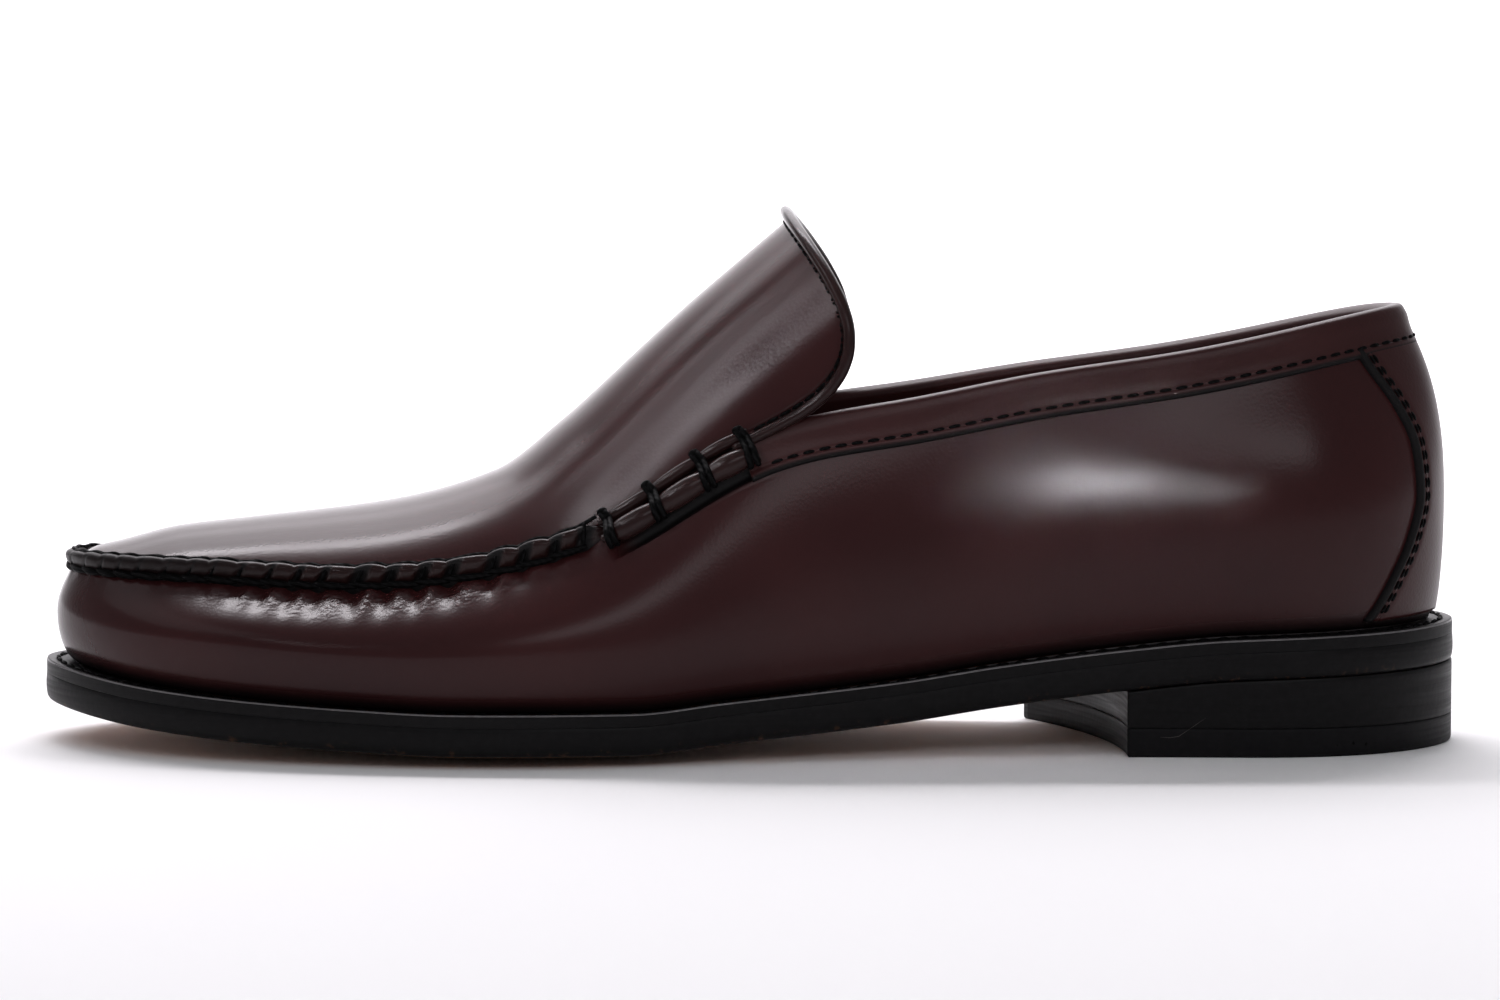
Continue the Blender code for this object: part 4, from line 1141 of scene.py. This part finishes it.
def build_welt():
    seat = OUTSOLE_THICK + GAP
    inside = sole.margin + WELT_INSIDE
    # distance inside the sole's edge, and height over the welt's seat; rim_row is its upper corner, painted
    # light grey as a painted highlight
    profile = ((0.02, -0.33), (0.0, -0.2), (0.0, 1.2), (0.0, 1.9), (0.0, 2.02), (0.004, 2.08), (0.02, 2.13),
               (0.15, 2.47), (0.5, 2.62), (1.2, 2.62), (1.9, 2.55), (2.3, 2.3), (2.7, 2.3), (3.1, 2.55),
               (4.0, 2.6), (5.0, 2.6), (inside, 2.6), (inside, -0.1), (0.4, 0.08 - GAP))
    rim_row = 6
    net = np.stack([sole_ring(inset, seat + rise) for inset, rise in profile], axis=1)
    lay("welt_strip", net, [edge_ink, rim_highlight], ("welt",), lap=True, loop=True,
        second=(rim_row,))
    row = sole_ring(WELT_STITCH_INSET, seat + WELT_STITCH_HEIGHT)
    lift = np.tile((0.0, 0.0, 1.0), (len(row), 1))
    threads("welt_stitches", stitch_runs(row, lift, WELT_STITCH), thread)


def build_outsole():
    rows = [sole_ring(PLATE_RIM, OUTSOLE_THICK, share) for share in (1.0, 0.5, 0.0)]
    # distance inside the edge and height over the underside, down the edge and round its lower corner
    edge_rows = ((0.5, 5.81), (0.02, 5.8), (-0.01, 5.74), (-0.10, 4.6), (-0.18, 3.4), (-0.15, 2.2),
                 (-0.05, 1.2), (0.1, 0.6), (0.35, 0.22), (0.8, 0.04), (1.4, 0.0), (3.0, 0.0),
                 (PLATE_RIM, 0.0))
    rows += [sole_ring(inset, rise) for inset, rise in edge_rows]
    corner = len(rows) - 3
    rows += [sole_ring(PLATE_RIM, 0.0, share) for share in (0.08, 0.18, 0.3, 0.43, 0.57, 0.72, 0.86, 1.0)]
    net = np.stack(rows, axis=1)
    worn = np.zeros(net.shape[:2])
    worn[:, corner - 4:corner + 1] = (0.3, 0.8, 1.0, 1.0, 0.6)
    lay("outsole_bend", net, [edge_ink, tan_sole], ("outsole",), lap=True,
        second=range(corner, net.shape[1]), marks={"worn": worn})


def build_insole():
    border = sole.margin + WELT_INSIDE + GAP
    seat = OUTSOLE_THICK + GAP
    rows = [sole_ring(border, seat, share) for share in (1.0, 0.4, 0.0)]
    rows.append(sole_ring(border, seat + INSOLE_THICK - 0.7))
    rows.append(sole_ring(border, seat + INSOLE_THICK - 0.2, 0.01))
    rows += [sole_ring(border, seat + INSOLE_THICK, share) for share in (0.035, 0.1, 0.25, 0.45, 0.7, 1.0)]
    lay("insole_and_sock", np.stack(rows, axis=1), [sock], ("insole",), lap=True)


def heel_outline():
    heel = KNOTS[HEEL_BACK]

    def side(toe_stop, breast_x):
        edge = Last(np.linspace(toe_stop, heel, 1200)).edge()
        path = edge[edge[:, 0] > breast_x]
        length = run_length(path)
        return read_rows(np.linspace(0.0, length[-1], HEEL_SIDE_POINTS), length, path)

    left = side(0.0, BREAST_OUTER_X)
    right = side(LAP, BREAST_INNER_X)[::-1]
    share = np.linspace(0.0, 1.0, 42)[1:-1, None]
    breast = right[-1] + (left[0] - right[-1]) * share
    breast[:, 0] += BREAST_HOLLOW * (1.0 - (2.0 * share[:, 0] - 1.0) ** 2)
    return np.concatenate([left, right[1:], breast])


def build_heel():
    outline = heel_outline()
    toward = unit(HEEL_CENTRE - outline)

    def seat(plan):
        return underside(plan[:, 0], FLOOR_CROWN_REACH) - 0.05

    def ring(inset, share, level=None):
        """A ring inside the outline, a share of the way to the centre, on the seat if no level is given."""
        plan = outline + toward * inset
        plan = plan + (HEEL_CENTRE - plan) * share
        height = seat(plan) if level is None else np.broadcast_to(level, len(plan))
        return np.column_stack([plan, height])

    bottom = TOP_PIECE_THICK + 0.1
    low = bottom + 0.2
    high = seat(outline) - 0.12
    rows = [ring(0.0, 1.0), ring(0.0, 0.5), ring(0.15, 0.0)]
    # share of the stack's height, and how far the joints of the lifts lie in
    lifts = ((1.0, 0.05), (0.92, 0.0), (0.68, 0.0), (0.655, 0.02), (0.63, 0.0), (0.36, 0.0), (0.335, 0.02),
             (0.31, 0.0), (0.06, 0.0), (0.0, 0.0))
    rows += [ring(inset, 0.0, low + (high - low) * share) for share, inset in lifts]
    rows += [ring(0.06, 0.0, bottom), ring(0.0, 0.5, bottom), ring(0.0, 1.0, bottom)]
    lay("heel_stacked_lifts", np.stack(rows, axis=1), [edge_ink], ("heel_stack",), lap=True)
    # inset, share of the way to the centre, and height over the floor
    top = TOP_PIECE_THICK
    top_piece = ((0.0, 1.0, top), (0.0, 0.5, top), (0.06, 0.0, top), (0.0, 0.0, 5.93), (0.0, 0.0, 5.3),
                 (0.0, 0.0, 3.0), (0.0, 0.0, 0.8), (0.1, 0.0, 0.3), (0.35, 0.0, 0.06), (0.8, 0.0, 0.0),
                 (0.8, 0.1, 0.0), (0.0, 0.4, 0.0), (0.0, 1.0, 0.0))
    net = np.stack([ring(*row) for row in top_piece], axis=1)
    lay("heel_rubber_top_piece", net, [rubber], ("heel_top_piece",), lap=True)

    def on_side(x, z, lift=0.0):
        """A point on the heel's outer side, and the way out of it there."""
        side = outline[:HEEL_SIDE_POINTS]
        spot = read_rows(x, side[:, 0], side)
        out = read_rows(x, side[:, 0], -toward[:HEEL_SIDE_POINTS])
        return np.append(spot + out * lift, z), np.append(out, 0.0)

    # three nail holes low on the top piece, drawn as near-black discs that paint the shade inside them:
    # place along, height and radius
    up = np.tile((0.0, 0.0, 1.0), (3, 1))
    holes = []
    for x, z, radius in ((122.6, 2.4, 0.22), (126.1, 2.7, 0.36), (128.9, 2.3, 0.34)):
        spot, out = on_side(x, z)
        path = spot + np.outer((-0.5, -0.1, 0.06), out)
        holes.append((path, up, radius * np.array([1.0, 1.0, 0.8]), 1.3))
    threads("heel_nail_holes", holes, thread)
    # one hair scratch across the lifts: place along, height and radius
    scratch = np.array(((85.6, 4.3, 0.03), (87.6, 4.2, 0.07), (89.4, 4.5, 0.08), (91.0, 5.6, 0.06),
                        (93.0, 7.0, 0.05), (95.0, 8.4, 0.02)))
    spots, lift = zip(*[on_side(x, z, 0.02) for x, z, _ in scratch])
    run = (np.array(spots), np.array(lift), scratch[:, 2], 0.6)
    threads("heel_hair_scratch", [run], scuffed)


# Studio: floor sweep, soft lights and the camera of the photograph, in metres

SWEEP_START_Y = 2.2
SWEEP_RADIUS = 1.2
LAMP_COLOUR = (1.0, 0.96, 1.0)
CAMERA_PLACE = (0.0003, -1.2, 0.160)
CAMERA_TILT_DEG = 84.8
CAMERA_LENS = 135.8
TONGUE_AIM = np.array([-0.012, -0.02, 0.082])
BEAM_DISTANCE = 1.45
BEAM_SIZE = 0.12
BEAM_POWER = 0.0022
BEAM_SPREAD_DEG = 5.0

# Beams at the tongue: turn from the front and climb in degrees, and share of the power.
Beam = namedtuple("Beam", "turn climb share")
BEAMS = (
    Beam(-36.0, 35.0, 1.0),
    Beam(-41.0, 39.0, 1.2),
    Beam(-46.0, 43.0, 1.2),
    Beam(-52.0, 46.0, 0.9),
    Beam(-59.0, 47.0, 0.7),
    Beam(-67.0, 47.0, 0.7),
    Beam(-76.0, 46.0, 0.6),
    Beam(-88.0, 46.0, 0.4),
    Beam(-100.0, 46.0, 0.4),
)


def soft_light(name, place, target, width, height, power, spread):
    lamp = bpy.data.lights.new(name, "AREA")
    lamp.shape = "RECTANGLE"
    lamp.size = width
    lamp.size_y = height
    lamp.energy = power
    lamp.color = LAMP_COLOUR
    lamp.spread = math.radians(spread)
    holder = bpy.data.objects.new(name, lamp)
    bpy.context.collection.objects.link(holder)
    holder.location = place
    aim = np.array(target) - np.array(place)
    holder.rotation_euler = (math.atan2(math.hypot(aim[0], aim[1]), -aim[2]), 0.0,
                             math.atan2(aim[1], aim[0]) - math.pi / 2)


def build_floor():
    clear_selection()
    side = (-6.0, 0.0, 6.0)
    bend = np.linspace(0.1, 1.0, 14) * math.pi / 2
    back_y = SWEEP_START_Y + SWEEP_RADIUS
    curve_y = SWEEP_START_Y + SWEEP_RADIUS * np.sin(bend)
    run = np.concatenate([np.linspace(-4.0, SWEEP_START_Y, 8), curve_y, [back_y]])
    rise = np.concatenate([np.zeros(8), SWEEP_RADIUS - SWEEP_RADIUS * np.cos(bend), [5.0]])
    bpy.ops.mesh.primitive_grid_add(x_subdivisions=len(side) - 1, y_subdivisions=len(run) - 1, size=1.0)
    floor = bpy.context.object
    floor.name = "studio_floor"
    spots = np.array([[x, y, z] for y, z in zip(run, rise) for x in side])
    floor.data.vertices.foreach_set("co", spots.reshape(-1))
    bpy.ops.object.shade_smooth()
    # paper, matt and seamless: an even white with no sheen
    paper = new_material("seamless_paper_matt", {"Base Color": srgb("#f6f6f6"), "Roughness": 0.9})[0]
    floor.data.materials.append(paper)


def build_lights():
    # the banks are aimed a hair off straight down, so that their width lies along the shoe
    soft_light("overhead_key", (-0.10, 0.60, 1.20), (-0.10, 0.61, 0.0), 0.9, 0.12, 9.5, 180.0)
    soft_light("overhead_bank", (-0.25, 0.90, 1.20), (-0.25, 0.91, 0.0), 1.8, 0.60, 13.5, 180.0)
    soft_light("rear_bank", (-0.20, 1.60, 1.20), (-0.20, 1.61, 0.0), 1.6, 0.9, 8.0, 180.0)
    soft_light("left_bank", (-1.20, -0.10, 1.30), (0.0, 0.0, 0.05), 1.0, 0.8, 1.0, 150.0)
    soft_light("front_spot", (0.19, -1.40, 0.36), (0.072, -0.03, 0.057), 0.04, 0.04, 0.0015, 2.5)
    soft_light("front_fill", (0.40, -1.30, 0.83), (0.05, 0.0, 0.06), 0.90, 0.35, 2.9, 180.0)
    # a fan of narrow beams that reach the tongue and leave the toe wall dark
    for number, beam in enumerate(BEAMS):
        turn, climb = math.radians(beam.turn), math.radians(beam.climb)
        level = math.cos(climb)
        away = np.array([math.sin(turn) * level, -math.cos(turn) * level, math.sin(climb)])
        soft_light("tongue_beam_%d" % number, TONGUE_AIM + BEAM_DISTANCE * away, TONGUE_AIM,
                   BEAM_SIZE, BEAM_SIZE, BEAM_POWER * beam.share, BEAM_SPREAD_DEG)
    soft_light("backdrop_light", (0.0, 1.2, 3.2), (0.0, 3.0, 1.0), 3.0, 1.0, 90.0, 120.0)
    world = bpy.data.worlds.new("studio_room")
    bpy.context.scene.world = world
    world.use_nodes = True
    background = world.node_tree.nodes["Background"]
    background.inputs["Color"].default_value = srgb("#e8eaee")
    background.inputs["Strength"].default_value = 0.35


def build_camera():
    camera = bpy.data.cameras.new("photo_camera")
    camera.sensor_width = 36.0
    camera.lens = CAMERA_LENS
    camera.clip_end = 50.0
    holder = bpy.data.objects.new("photo_camera", camera)
    bpy.context.collection.objects.link(holder)
    holder.location = CAMERA_PLACE
    holder.rotation_euler = (math.radians(CAMERA_TILT_DEG), 0.0, 0.0)
    bpy.context.scene.camera = holder
    bpy.context.scene.view_settings.view_transform = "Standard"


build_wall()
build_apron()
build_ridge()
build_ridge_threads()
build_rolls()
build_tongue_bead()
build_collar()
build_strap()
build_welt()
build_outsole()
build_insole()
build_heel()
build_floor()
build_lights()
build_camera()
